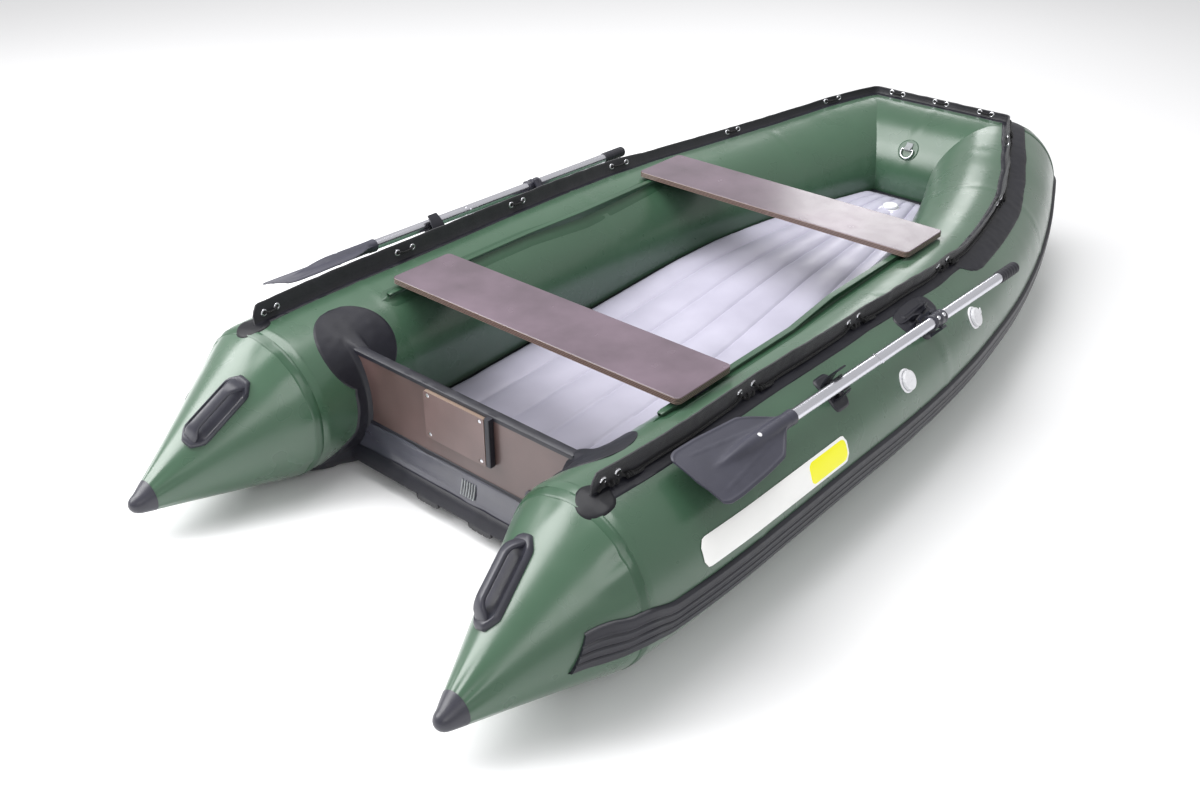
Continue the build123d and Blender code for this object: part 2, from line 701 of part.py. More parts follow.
def grab_line():
    """Cord along the flap's outboard side, around the bow from stern to stern."""
    port = [cord_point(bow_station(x), 9, 8.5) for x in (0, 150)]
    port += [cord_point(corner_station(angle), 12, 13) for angle in (30, BOW_TURN)]
    port += [cord_point(station(y), 8.5, 8.2) for y in CORD_YS]
    points = smooth(mirror_points(reversed(port[1:])) + port, 3)
    wires = []
    for i, p in enumerate(points):
        ahead, behind = points[min(i + 1, len(points) - 1)], points[max(i - 1, 0)]
        heading = (ahead - behind).normalized()
        plane = Plane(origin=p, x_dir=UP.cross(heading), z_dir=heading)
        wires.append(Wire.make_circle(CORD_R, plane))
    return Solid.make_loft(wires, True)


save("grab_line", grab_line())

# ---------------------------------------------------------------- rub strake
STRAKE_HALF = 11.8      # degrees, half the strake's width on the full tube
# (y, degrees of the strake's middle above outward)
STRAKE_MID = [(BOW_Y, -4), (-1100, -7), (-600, -9), (0, -9.5), (600, -7), (1000, -6.5),
              (1200, -6), (1330, 1), (1456, 8.5)]
STRAKE_YS = [SEAM_Y, 1180, 1100, 1000, 900, 750, 600, 450, 300, 175, 50, -75, -200, -300,
             -400, -500, -600, -675, -750, -825, -900, -975, -1050, -1125, -1200, -1250,
             -1300, -1350, -1400, -1440]
STRAKE_CORNER = [BOW_TURN, 62, 57, 52, 47, 42, 37, 32, 27, 22, 17, 12, 8, 4, 0]   # degrees


def strake_section(st):
    """Cross-section with three grooves and thinned edges; wider in angle on the cone."""
    half = STRAKE_HALF * min(TUBE_R / st.radius, 1.25)
    start = eased(STRAKE_MID, st.centre.Y) - half
    points = []
    n = 12
    for i in range(n + 1):
        thickness = STRAKE_T
        if i in (0, n):
            thickness -= 5.0
        elif i % 3 == 0:
            thickness -= 4.0
        points.append(ring_point(st, start + 2 * half * i / n, st.radius + thickness))
    for i in range(6, -1, -1):
        points.append(ring_point(st, start + 2 * half * i / 6, st.radius - EMBED))
    return points


def side_strake():
    stations = [cone_station(0.42 * k / 9) for k in range(9, 0, -1)]
    stations += [station(y) for y in STRAKE_YS]
    stations += [corner_station(angle) for angle in STRAKE_CORNER]
    strake = loft_polygons([strake_section(st) for st in stations])
    return largest(strake - side_tool - cone_tool - bow_skin)


def bow_strake():
    port_end = strake_section(corner_station(0))
    return largest(loft_polygons([mirror_points(port_end), port_end]) - bow_tool)


port_strake = side_strake()
save("rub_strake", port_strake, bow_strake(), mirror_x(port_strake))

# ------------------------------------------------------------ oarlocks, oars
OAR_Y = -20.0
OAR_PHI = math.radians(50.7)        # oarlock's direction from the tube, above horizontal
OAR_RISE = 284.0        # oar axis, distance from the tube's centre line
PIN_R = 6.0             # fork pin and collar trunnions
LOOM_R, LOOM_WALL = 16.5, 1.5
GRIP_END, HANDLE_START, HANDLE_END, LOOM_END = -505.0, -490, 335.0, 890
RIVET_R, RIVET_Y = 3.0, 876
BLADE_LEVEL = math.radians(20)      # the blade's lean outboard from level
# blade outline in its own plane: (across, along the oar)
BLADE = [(20, 735), (20, 768), (60, 825), (80, 862), (92, 1010), (93, 1078), (84, 1100),
         (66, 1112), (-40, 1104), (-78, 1096), (-90, 1082), (-91, 1040), (-84, 930),
         (-75, 854), (-52, 822), (-20, 780), (-20, 735)]

# lock frame on the tube's skin: x outboard and down, y aft, z off the tube
lock_x, lock_z = centre(OAR_Y)
lock_normal = Vector(math.cos(OAR_PHI), 0, math.sin(OAR_PHI))
lock_side = Vector(math.sin(OAR_PHI), 0, -math.cos(OAR_PHI))
lock_origin = Vector(lock_x, OAR_Y, lock_z) + lock_normal * TUBE_R
LOCK = frame_at(lock_origin, lock_normal, lock_side)

# oar frame: origin on the oar axis at the collar, y along the oar towards the blade
oar_origin = lock_origin + lock_normal * (OAR_RISE - TUBE_R)
oar_dir = Vector(-0.012, 1, 0.024).normalized()
oar_side = (lock_side - oar_dir * lock_side.dot(oar_dir)).normalized()
oar_normal = oar_side.cross(oar_dir)
OAR = frame_at(oar_origin, oar_normal, oar_side)

# turns the oar frame into the blade's plane
blade_normal = Vector(math.sin(BLADE_LEVEL), 0, math.cos(BLADE_LEVEL))
BLADE_TURN = Rot(0, -math.degrees(math.acos(oar_normal.dot(blade_normal))), 0)


def rectangle_at(x, y, z):
    return [(-x, -y, z), (x, -y, z), (x, y, z), (-x, y, z)]


def oarlock_base():
    """Patch on the tube with a tapered block bored for the fork's pin."""
    patch = largest(tube_along(TUBE_R + 2.6, 0.0, -140, 100)
                    & (LOCK * Pos(-19, 4, 0) * Box(106, 176, 120)))
    block = loft_polygons([rectangle_at(30, 46, -20), rectangle_at(24, 30, 14)])
    base = patch + LOCK * block - LOCK * (Pos(0, 0, 6) * Cylinder(PIN_R + FIT, 24))
    return trim_to_side(base)


def oarlock_fork():
    """Its pin turns in the base; the collar's trunnions turn in its arms."""
    fork = LOCK * (Pos(0, 0, 17.25) * Box(65, 30, 5.5) + Pos(0, 0, 8.25) * Cylinder(PIN_R, 13.5))
    for x in (-29, 29):
        fork = fork + LOCK * (Pos(x, 0, 39) * Box(7, 24, 44))
    return fork - OAR * (Rot(0, 90, 0) * Cylinder(PIN_R + FIT, 90))


def rod(r, y0, y1):
    return Pos(0, (y0 + y1) / 2, 0) * Rot(90, 0, 0) * Cylinder(r, y1 - y0)


def oar_collar():
    """Sleeve on the loom with two trunnions and two studs on top."""
    bore = rod(LOOM_R, -40, 40)
    collar = rod(22, -30, 30) + Rot(0, 90, 0) * Cylinder(PIN_R, 64) - bore
    return collar + Pos(0, -22, 22) * Cylinder(4, 4) + Pos(0, 22, 22) * Cylinder(4, 4) - bore


def loom_handle():
    return (rod(LOOM_R, HANDLE_START, HANDLE_END)
            - rod(LOOM_R - LOOM_WALL, HANDLE_START - 5, HANDLE_END + 5))


def rivet_hole():
    return BLADE_TURN * (Pos(0, RIVET_Y, 0) * Cylinder(RIVET_R, 60))


def loom_blade():
    """Blade half of the loom, with a spigot that enters the handle half."""
    bore_r = LOOM_R - LOOM_WALL
    spigot = (rod(bore_r, HANDLE_END - 80, HANDLE_END + 40)
              - rod(LOOM_R - 3, HANDLE_END - 90, HANDLE_END + 50))
    loom = rod(LOOM_R, HANDLE_END, LOOM_END) - rod(bore_r, HANDLE_END - 5, LOOM_END + 5) + spigot
    return loom - rivet_hole()


def oar_grip():
    grip = rod(19, GRIP_END, -388) - rod(LOOM_R, HANDLE_START, -380)
    return fillet(grip.edges().sort_by(Axis.Y)[0], 5)


def oar_blade():
    """Flat plate with a socket that tapers off along its middle."""
    plate = extrude(make_face(Polyline(BLADE + BLADE[:1])), amount=2.5, both=True)
    socket = rod(19.5, 733, 905) + Pos(0, 950, 0) * Rot(-90, 0, 0) * Cone(19.5, 5, 90)
    return BLADE_TURN * (plate + socket) - rod(LOOM_R, 700, LOOM_END) - rivet_hole()


def oar_rivet():
    return BLADE_TURN * (Pos(0, RIVET_Y, 0) * Cylinder(RIVET_R, 39.5)
                         + Pos(0, RIVET_Y, 20.4) * Cylinder(5.5, 1.6))


def oar_rest():
    """Patch on the tube under the loom, with a low saddle and an inboard fin."""
    y = 470.0
    axis_point = oar_origin + oar_dir * ((y - OAR_Y) / oar_dir.Y)
    x, z = centre(y)
    normal = Vector(axis_point.X - x, 0, axis_point.Z - z).normalized()
    frame = frame_at(Vector(x, y, z) + normal * TUBE_R, normal, Vector(normal.Z, 0, -normal.X))
    rest = (Pos(0, 0, -9) * Box(104, 70, 23) + Pos(0, 0, 12) * Box(40, 40, 34)
            + Pos(-27, 0, 26) * Box(7, 40, 62))
    return trim_to_side(frame * rest)


save("oarlock_bases", *both_sides(oarlock_base()))
save_sides("oarlock_fork_{}", oarlock_fork())
for name, shape in (("collar", oar_collar()), ("loom_handle", loom_handle()),
                    ("loom_blade", loom_blade()), ("grip", oar_grip()),
                    ("blade", oar_blade()), ("rivet", oar_rivet())):
    save_sides("oar_" + name + "_{}", OAR * shape)
save("oar_rests", *both_sides(oar_rest()))

# ------------------------------------------------------------------- valves
VALVES = [("a", 180.0, 30.0), ("b", -275.0, 31.0)]   # name, y, degrees above outward
VALVE_NECK_R = 20


def valve_body(flange_z, flange_t):
    """Round flange and neck with a bore; z = 0 is the surface it sits on."""
    body = Pos(0, 0, flange_z) * Cylinder(33, flange_t) + Pos(0, 0, 7) * Cylinder(VALVE_NECK_R, 8)
    return body - Pos(0, 0, 2) * Cylinder(VALVE_BORE, 30)


def valve_cap():
    """Cap over the neck, with eight finger grooves in its rim."""
    cap = Pos(0, 0, 9.5) * Cylinder(29, 10) - Pos(0, 0, 7) * Cylinder(VALVE_NECK_R + FIT, 9.4)
    cap = fillet(cap.edges().sort_by(Axis.Z)[-1], 4)
    for k in range(8):
        cap = cap - Rot(0, 0, 45 * k) * Pos(29.5, 0, 8) * Cylinder(2.2, 9)
    return cap


tube_bodies = []
for name, y, phi in VALVES:
    st = station(y)
    frame = frame_at(ring_point(st, phi, TUBE_R), radial(st, phi), st.heading)
    tube_bodies.append(trim_to_side(frame * valve_body(-4, 16)))
    save_sides("valve_cap_{}_" + name, frame * valve_cap())
save("valve_bodies", *both_sides(*tube_bodies), FLOOR_VALVE * valve_body(2, 4))
save("valve_cap_floor", FLOOR_VALVE * valve_cap())


# --------------------------------------------------- handles, ring, panels
def stern_handle():
    """Plate with cut corners on the cone's upper inboard side, and a grab bar over it."""
    phi = 112
    fore, aft = [ring_point(st, phi, st.radius) for st in map(cone_station, (0.245, 0.70))]
    along = (aft - fore).normalized()
    normal = radial(cone_station(0.17), phi)
    normal = (normal - along * normal.dot(along)).normalized()
    frame = frame_at((fore + aft) * 0.5, normal, along.cross(normal))
    x, y = 29, 116      # plate half width and half length
    cut = 14
    outline = Polyline((-x, -y + cut), (cut + 1 - 30, -y + cut)) if False else Polyline(
        (-x, -y + cut), (-15, -y), (15, -y), (x, -y + cut), (x, y - cut), (15, y), (-15, y),
        (-x, y - cut), (-x, -y + cut))
    plate = Pos(0, 0, -3) * extrude(make_face(outline), amount=10)
    path = Polyline((0, -84, 2), (0, -60, 38), (0, 60, 38), (0, 84, 2))
    section = Plane(origin=(0, -84, 2), z_dir=(0, 24, 36)) * RectangleRounded(30, 13, 5)
    grab = sweep(sections=section, path=path, transition=Transition.RIGHT)
    return largest((frame * (plate + grab)) - cone_tool)


# ring frame on the bow tube's aft, upper face: z off the tube, y up along its skin
RING_R = 3.0            # wire radius
RING_X = 22             # half the straight bar's length
RING_H = 8.5            # the bar's height off the tube
ring_normal = Vector(0, math.cos(math.radians(30)), math.sin(math.radians(30)))
RING = frame_at(Vector(0, BOW_Y, BOW_Z) + ring_normal * TUBE_R, ring_normal, Vector(-1, 0, 0))


def bow_ring_patch():
    """Round patch with a lug bored for the ring's bar."""
    patch = Pos(0, 0, -3.5) * Cylinder(42, 13) + Pos(0, 0, 7.2) * Box(26, 14, 9)
    patch = patch - Pos(0, 0, RING_H) * Rot(0, 90, 0) * Cylinder(RING_R + FIT, 60)
    return largest((RING * patch) - bow_tool)


def bow_ring():
    """D ring: a straight bar and an arc, with balls at the corners."""
    bar = Rot(0, 90, 0) * Cylinder(RING_R, 2 * RING_X)
    path = ThreePointArc((RING_X, 0), (0, -34), (-RING_X, 0))
    arc = sweep(sections=Plane(origin=path @ 0, z_dir=path % 0) * Circle(RING_R), path=path)
    ring = bar + arc + Pos(RING_X, 0, 0) * Sphere(RING_R) + Pos(-RING_X, 0, 0) * Sphere(RING_R)
    return RING * (Pos(0, 0, RING_H) * ring)


def side_panel():
    """Blank name panel on the side tube's outboard face."""
    aft_y, fore_y = 1095, 512
    half = 9.3          # degrees
    sections = []
    for i in range(9):
        st = station(aft_y - (aft_y - fore_y) * i / 8)
        middle = 21 - 2 * i / 8
        angles = [middle - half + 2 * half * j / 6 for j in range(7)]
        sections.append([ring_point(st, a, TUBE_R + 2.4) for a in angles]
                        + [ring_point(st, a, TUBE_R + 1.0) for a in reversed(angles)])
    return loft_polygons(sections)


save("stern_handles", *both_sides(stern_handle()))
save("bow_ring_patch", bow_ring_patch())
save("bow_ring", bow_ring())
save("side_panels", *both_sides(side_panel()))
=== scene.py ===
# An inflatable boat: two side tubes joined round the bow, cones at the stern ends, an air
# floor, a transom board, two benches and a pair of oars.
# X points to port, Y to the stern and Z up; X = 0 is the centre line, Z = 0 the ground.
# Sizes are in millimetres and turned into metres when a mesh is made. Paired pieces are
# built on the port side and mirrored.
from collections import namedtuple
from math import (acos, atan2, copysign, cos, degrees, exp, hypot, pi, radians, sin, sqrt,
                  tan)

import bmesh
import bpy
import numpy as np
from mathutils import Matrix, Vector, noise


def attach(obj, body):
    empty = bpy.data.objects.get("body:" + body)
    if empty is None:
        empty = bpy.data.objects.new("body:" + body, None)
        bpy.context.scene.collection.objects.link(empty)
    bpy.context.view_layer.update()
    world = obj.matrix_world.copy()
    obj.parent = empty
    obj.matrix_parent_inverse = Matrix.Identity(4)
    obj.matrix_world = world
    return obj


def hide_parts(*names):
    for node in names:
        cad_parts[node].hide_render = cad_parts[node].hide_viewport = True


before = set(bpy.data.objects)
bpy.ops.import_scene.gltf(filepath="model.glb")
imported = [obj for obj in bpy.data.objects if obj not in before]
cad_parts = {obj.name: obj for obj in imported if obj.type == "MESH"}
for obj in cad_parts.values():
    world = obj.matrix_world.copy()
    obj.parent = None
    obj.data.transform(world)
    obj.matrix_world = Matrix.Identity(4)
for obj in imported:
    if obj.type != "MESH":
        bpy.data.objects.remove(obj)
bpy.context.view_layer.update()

# ------------------------------------------------------------ driving sizes
TUBE_R = 231.0
BOW_X, BOW_Y, BOW_Z = 266.0, -1507.0, 309.0   # port end of the straight bow tube
BOW_TURN = 22.8                               # side tube's heading at the bow, degrees
CORNER = 90 - BOW_TURN                        # angle the corner turns through
SEAM_Y = 1262.0                               # tube meets stern cone
SEAM_SLOPE = -0.09                            # change of x along y at the seam
TIP_X, TIP_Y, TIP_Z, TIP_R = 594.0, 1722.0, 118.0, 26.0
# Centre line of the side tube: y, x, z
SIDE = [(BOW_Y, BOW_X, BOW_Z), (-1400, 309, 300), (-1300, 349, 286), (-1180, 392, 266),
        (-1000, 447, 247), (-850, 485, 239), (-650, 527, 234), (-450, 559, 234),
        (-200, 590, 236), (50, 606, 238), (300, 613, 239), (900, 613, 239),
        (1060, 609, 239), (SEAM_Y, 595, 239)]
# Stern cone: y, radius, z of the centre
CONE = [(SEAM_Y, TUBE_R, 239), (1285, 228.5, 236), (1310, 221, 229), (1391, 183, 207),
        (1568, 99, 159), (TIP_Y, TIP_R, TIP_Z)]
# Lacing strip, each against y: lean outboard of upright (degrees), flap height, inboard
# reach of the glued band (degrees), eyelet height
LEAN = [(BOW_Y, 6), (-1400, 7.5), (-1300, 10), (-1150, 14), (-950, 17.5), (-500, 17.5),
        (-300, 14), (0, 9), (200, 6.5), (700, 4.5), (1275, 5)]
FLAP = [(BOW_Y, 31), (-1300, 33), (-1100, 37), (-500, 40), (-300, 50), (200, 54),
        (700, 59), (1275, 59)]
BAND = [(BOW_Y, 17), (-1300, 19), (-900, 21), (-500, 20), (-460, 18.8), (-430, 16.6),
        (-408, 13), (-395, 9.5), (1275, 9.5)]
EYE = [(BOW_Y, 17), (-1100, 20), (-500, 23), (-300, 26), (200, 29), (734, 29), (1150, 25),
       (1275, 23)]
EYELET_PAIRS = [(1234, 1188), (734, 675), (232, 178), (-277, -350), (-870, -925),
                (-1330, -1378)]               # y of each pair
BOW_LEAN = LEAN[0][1]
# Rub strake: y, angle of its middle on the tube
STRAKE_MID = [(BOW_Y, -4), (-1100, -7), (-600, -9), (0, -9.5), (600, -7), (1000, -6.5),
              (1200, -6), (1330, 1), (1456, 8.5)]


# ------------------------------------------------------------------ maths
def vec(*values):
    return np.array(values, float)


def unit(vector):
    return np.asarray(vector, float) / np.linalg.norm(vector)


def square_to(direction, axis):
    """Unit vector of the direction's part at right angles to a unit axis."""
    return unit(direction - axis * np.dot(direction, axis))


def steps(count):
    return [i / count for i in range(count + 1)]


def turns(count):
    return [2 * pi * i / count for i in range(count)]


def smooth(start, end, value):
    """0 before start, 1 past end, with an eased ramp between."""
    t = min(1.0, max(0.0, (value - start) / (end - start)))
    return t * t * (3 - 2 * t)


def hump(value, centre, width):
    return exp(-((value - centre) / width) ** 2)


def ripple(*place):
    return noise.noise(Vector(place))


def eased(table, y):
    if y <= table[0][0]:
        return table[0][1]
    for (y0, value0), (y1, value1) in zip(table, table[1:]):
        if y <= y1:
            return value0 + (value1 - value0) * smooth(y0, y1, y)
    return table[-1][1]


def straight(table, y, column=1):
    return float(np.interp(y, [row[0] for row in table], [row[column] for row in table]))


def curve(table, column, first, last):
    """Function of y giving (value, slope) on a cubic through a column, without overshoot.

    first and last are the slopes at the two ends.
    """
    count = len(table)
    gaps = [table[i + 1][0] - table[i][0] for i in range(count - 1)]
    rises = [(table[i + 1][column] - table[i][column]) / gaps[i] for i in range(count - 1)]
    slopes = [first]
    for i in range(1, count - 1):
        if rises[i - 1] * rises[i] <= 0:
            slopes.append(0.0)
        else:
            near, far = 2 * gaps[i] + gaps[i - 1], gaps[i] + 2 * gaps[i - 1]
            slopes.append((near + far) / (near / rises[i - 1] + far / rises[i]))
    slopes.append(last)

    def at(y):
        y = max(table[0][0], min(table[-1][0], y))
        i = 0
        while i < count - 2 and y > table[i + 1][0]:
            i += 1
        gap = gaps[i]
        t = (y - table[i][0]) / gap
        start, end = table[i][column], table[i + 1][column]
        value = ((2 * t**3 - 3 * t**2 + 1) * start + (t**3 - 2 * t**2 + t) * gap * slopes[i]
                 + (-2 * t**3 + 3 * t**2) * end + (t**3 - t**2) * gap * slopes[i + 1])
        slope = ((6 * t**2 - 6 * t) * start / gap + (3 * t**2 - 4 * t + 1) * slopes[i]
                 + (-6 * t**2 + 6 * t) * end / gap + (3 * t**2 - 2 * t) * slopes[i + 1])
        return value, slope

    return at


side_x = curve(SIDE, 1, tan(radians(BOW_TURN)), SEAM_SLOPE)
side_z = curve(SIDE, 2, 0.0, 0.0)
cone_r = curve(CONE, 1, 0.0, -0.47)
cone_z = curve(CONE, 2, 0.0, -0.27)

# A place along a tube, with unit vectors for its heading, outboard and upward
Station = namedtuple("Station", "centre along out up radius")


def side_station(y):
    """Station on the port side tube or its cone."""
    if y > SEAM_Y:
        t = (y - SEAM_Y) / (TIP_Y - SEAM_Y)
        seam_x = SIDE[-1][1]
        centre = vec(seam_x + (TIP_X - seam_x) * t, y, cone_z(y)[0])
        along = unit(vec(SEAM_SLOPE * (1 - t), 1, 0))
        radius = cone_r(y)[0]
    else:
        (x, slope_x), (z, slope_z) = side_x(y), side_z(y)
        centre, along, radius = vec(x, y, z), unit(vec(slope_x, 1, slope_z)), TUBE_R
    out = unit(vec(along[1], -along[0], 0))
    return Station(centre, along, out, np.cross(out, along), radius)


def corner_station(turn):
    along = vec(cos(radians(turn)), sin(radians(turn)), 0)
    return Station(vec(BOW_X, BOW_Y, BOW_Z), along, vec(along[1], -along[0], 0),
                   vec(0, 0, 1), TUBE_R)


def bow_station(x):
    return Station(vec(x, BOW_Y, BOW_Z), vec(1, 0, 0), vec(0, -1, 0), vec(0, 0, 1), TUBE_R)


def on_tube(station, angle, lift=0.0):
    """Point on the tube. The angle is 0 outboard, 90 on top and 180 inboard."""
    turn = radians(angle)
    return station.centre + ((station.out * cos(turn) + station.up * sin(turn))
                             * (station.radius + lift))


# ------------------------------------------------------------- mesh helpers
class Shape:
    """Points, faces and material slots gathered for one mesh."""

    def __init__(self):
        self.points, self.faces, self.slots, self.count = [], [], [], 0

    def add(self, points, faces, slots):
        points = np.asarray(points, float).reshape(-1, 3)
        self.points.append(points)
        self.faces += [tuple(i + self.count for i in face) for face in faces]
        self.slots += slots
        self.count += len(points)
        return self

    def grid(self, rows, slot, closed, caps):
        rows = np.asarray(rows, float)
        count, width = rows.shape[:2]
        faces = []
        for i in range(count - 1):
            here, after = i * width, (i + 1) * width
            for j in range(width if closed else width - 1):
                k = (j + 1) % width
                faces.append((here + j, here + k, after + k, after + j))
        if caps:
            faces.append(tuple(range(width))[::-1])
            faces.append(tuple((count - 1) * width + j for j in range(width)))
        return self.add(rows, faces, [slot] * len(faces))

    def sheet(self, rows, slot=0):
        return self.grid(rows, slot, closed=False, caps=False)

    def sleeve(self, rows, slot=0):
        """Rows closed on themselves, ends open."""
        return self.grid(rows, slot, closed=True, caps=False)

    def solid(self, rows, slot=0):
        return self.grid(rows, slot, closed=True, caps=True)

    def join(self, other):
        return self.add(np.concatenate(other.points), other.faces, other.slots)

    def mirrored(self):
        return Shape().add(np.concatenate(self.points) * vec(-1, 1, 1),
                           [face[::-1] for face in self.faces], self.slots)

    def both_sides(self):
        return Shape().join(self).join(self.mirrored())


def make(name, shape, materials, slot, *replaced, body="hull", angle=40):
    """Object from a shape; edges sharper than the angle stay sharp."""
    mesh = bpy.data.meshes.new(name)
    mesh.from_pydata((np.concatenate(shape.points) * 0.001).tolist(), [], shape.faces)
    for material_ in materials:
        mesh.materials.append(material_)
    mesh.polygons.foreach_set("material_index", shape.slots)
    work = bmesh.new()
    work.from_mesh(mesh)
    bmesh.ops.recalc_face_normals(work, faces=work.faces)
    work.to_mesh(mesh)
    work.free()
    mesh.polygons.foreach_set("use_smooth", [True] * len(mesh.polygons))
    mesh.set_sharp_from_angle(angle=radians(angle))
    piece = bpy.data.objects.new(name, mesh)
    bpy.context.scene.collection.objects.link(piece)
    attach(piece, body)
    for node in replaced:
        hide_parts(node)


def pair(name, shape, materials, slot, *replaced, body="hull", angle=40):
    """Port and starboard objects; {} in a replaced name or body stands for the side."""
    for side, half in (("port", shape), ("starboard", shape.mirrored())):
        make(f"{name}_{side}", half, materials, slot, *[node.format(side) for node in replaced],
             body=body.format(side), angle=angle)


def axes_at(origin, up, across):
    """Local axes (origin, x, y, z) with z along up and x as near across as it can be."""
    up = unit(up)
    across = square_to(np.asarray(across, float), up)
    return np.asarray(origin, float), across, np.cross(up, across), up


def place(axes, points):
    points = np.asarray(points, float)
    return (axes[0] + points[..., 0:1] * axes[1] + points[..., 1:2] * axes[2]
            + points[..., 2:3] * axes[3])


def lathe(axes, profile, sides=48, wobble=None):
    """Turned rings. The profile is (radius, height); wobble(angle, index) adds to a radius."""
    rings = []
    for i, (radius, z) in enumerate(profile):
        ring = []
        for angle in turns(sides):
            reach = radius + (wobble(angle, i) if wobble else 0.0)
            ring.append([reach * cos(angle), reach * sin(angle), z])
        rings.append(ring)
    return place(axes, rings)


def rounded(points, radius, count):
    """Open polyline with its inner corners rounded."""
    points = [np.asarray(point, float) for point in points]
    out = [points[0]]
    for before, corner, after in zip(points, points[1:], points[2:]):
        gap0, gap1 = np.linalg.norm(before - corner), np.linalg.norm(after - corner)
        cut = min(radius, gap0 * 0.49, gap1 * 0.49)
        start = corner + (before - corner) / gap0 * cut
        end = corner + (after - corner) / gap1 * cut
        out += [start * (1 - t) ** 2 + 2 * corner * t * (1 - t) + end * t * t
                for t in steps(count)]
    return out + [points[-1]]


def spline(points, per):
    last = len(points) - 1
    out = []
    for i in range(last):
        p0, p1, p2, p3 = (points[max(0, min(last, k))] for k in range(i - 1, i + 3))
        for j in range(per):
            t = j / per
            out.append(0.5 * (2 * p1 + (p2 - p0) * t + (2 * p0 - 5 * p1 + 4 * p2 - p3) * t**2
                              + (3 * p1 - p0 - 3 * p2 + p3) * t**3))
    return out + [points[-1]]


def pipe(shape, path, radius, sides, slot=0):
    last = len(path) - 1
    headings = [unit(path[min(i + 1, last)] - path[max(i - 1, 0)]) for i in range(last + 1)]
    start = vec(0, 0, 1) if abs(headings[0][2]) < 0.9 else vec(1, 0, 0)
    across = square_to(start, headings[0])
    rings = []
    for point, heading in zip(path, headings):
        across = square_to(across, heading)
        third = np.cross(heading, across)
        rings.append([point + across * radius * cos(a) + third * radius * sin(a)
                      for a in turns(sides)])
    shape.solid(rings, slot)


def patch(shape, station_at, start, angle, outline, height, rings, sides):
    """Patch glued on a tube, centred at the start and angle.

    outline(turn) is its reach, and height(q, round, along) how far it stands off, where q
    runs from 0 at the middle to 1 at the edge.
    """
    rows = []
    for i in range(rings + 2):
        q = min(i, rings) / rings
        row = []
        for turn in turns(sides):
            reach = outline(turn) * (q if i <= rings else 1.004)
            around, along = reach * cos(turn), reach * sin(turn)
            station = station_at(start + along)
            lift = height(q, around, along) if i <= rings else -1.0
            row.append(on_tube(station, angle + degrees(around / station.radius), lift))
        rows.append(row)
    shape.sleeve(rows)


def oblong(turn, half_x, half_y, power):
    """Reach of a rounded oblong in a direction; a higher power squares its corners."""
    return 1.0 / ((abs(cos(turn)) / half_x) ** power
                  + (abs(sin(turn)) / half_y) ** power) ** (1 / power)


# --------------------------------------------------------------- materials
def srgb(rgb):
    return tuple(c / 12.92 if c <= 0.04045 else ((c + 0.055) / 1.055) ** 2.4
                 for c in (value / 255 for value in rgb)) + (1.0,)


def set_inputs(node, **values):
    """Input names are written with underscores for spaces."""
    for key, value in values.items():
        node.inputs[key.replace("_", " ")].default_value = value


def add_node(tree, kind, **values):
    node = tree.nodes.new("ShaderNode" + kind)
    set_inputs(node, **values)
    return node


def add_maths(tree, operation, source):
    node = add_node(tree, "Math")
    node.operation = operation
    tree.links.new(source, node.inputs[0])
    return node


def add_ramp(tree, source, stops):
    """Colour ramp; stops are its two (position, colour) ends."""
    ramp = add_node(tree, "ValToRGB")
    for element, (position, colour) in zip(ramp.color_ramp.elements, stops):
        element.position, element.color = position, colour
    tree.links.new(source, ramp.inputs["Fac"])
    return ramp.outputs["Color"]


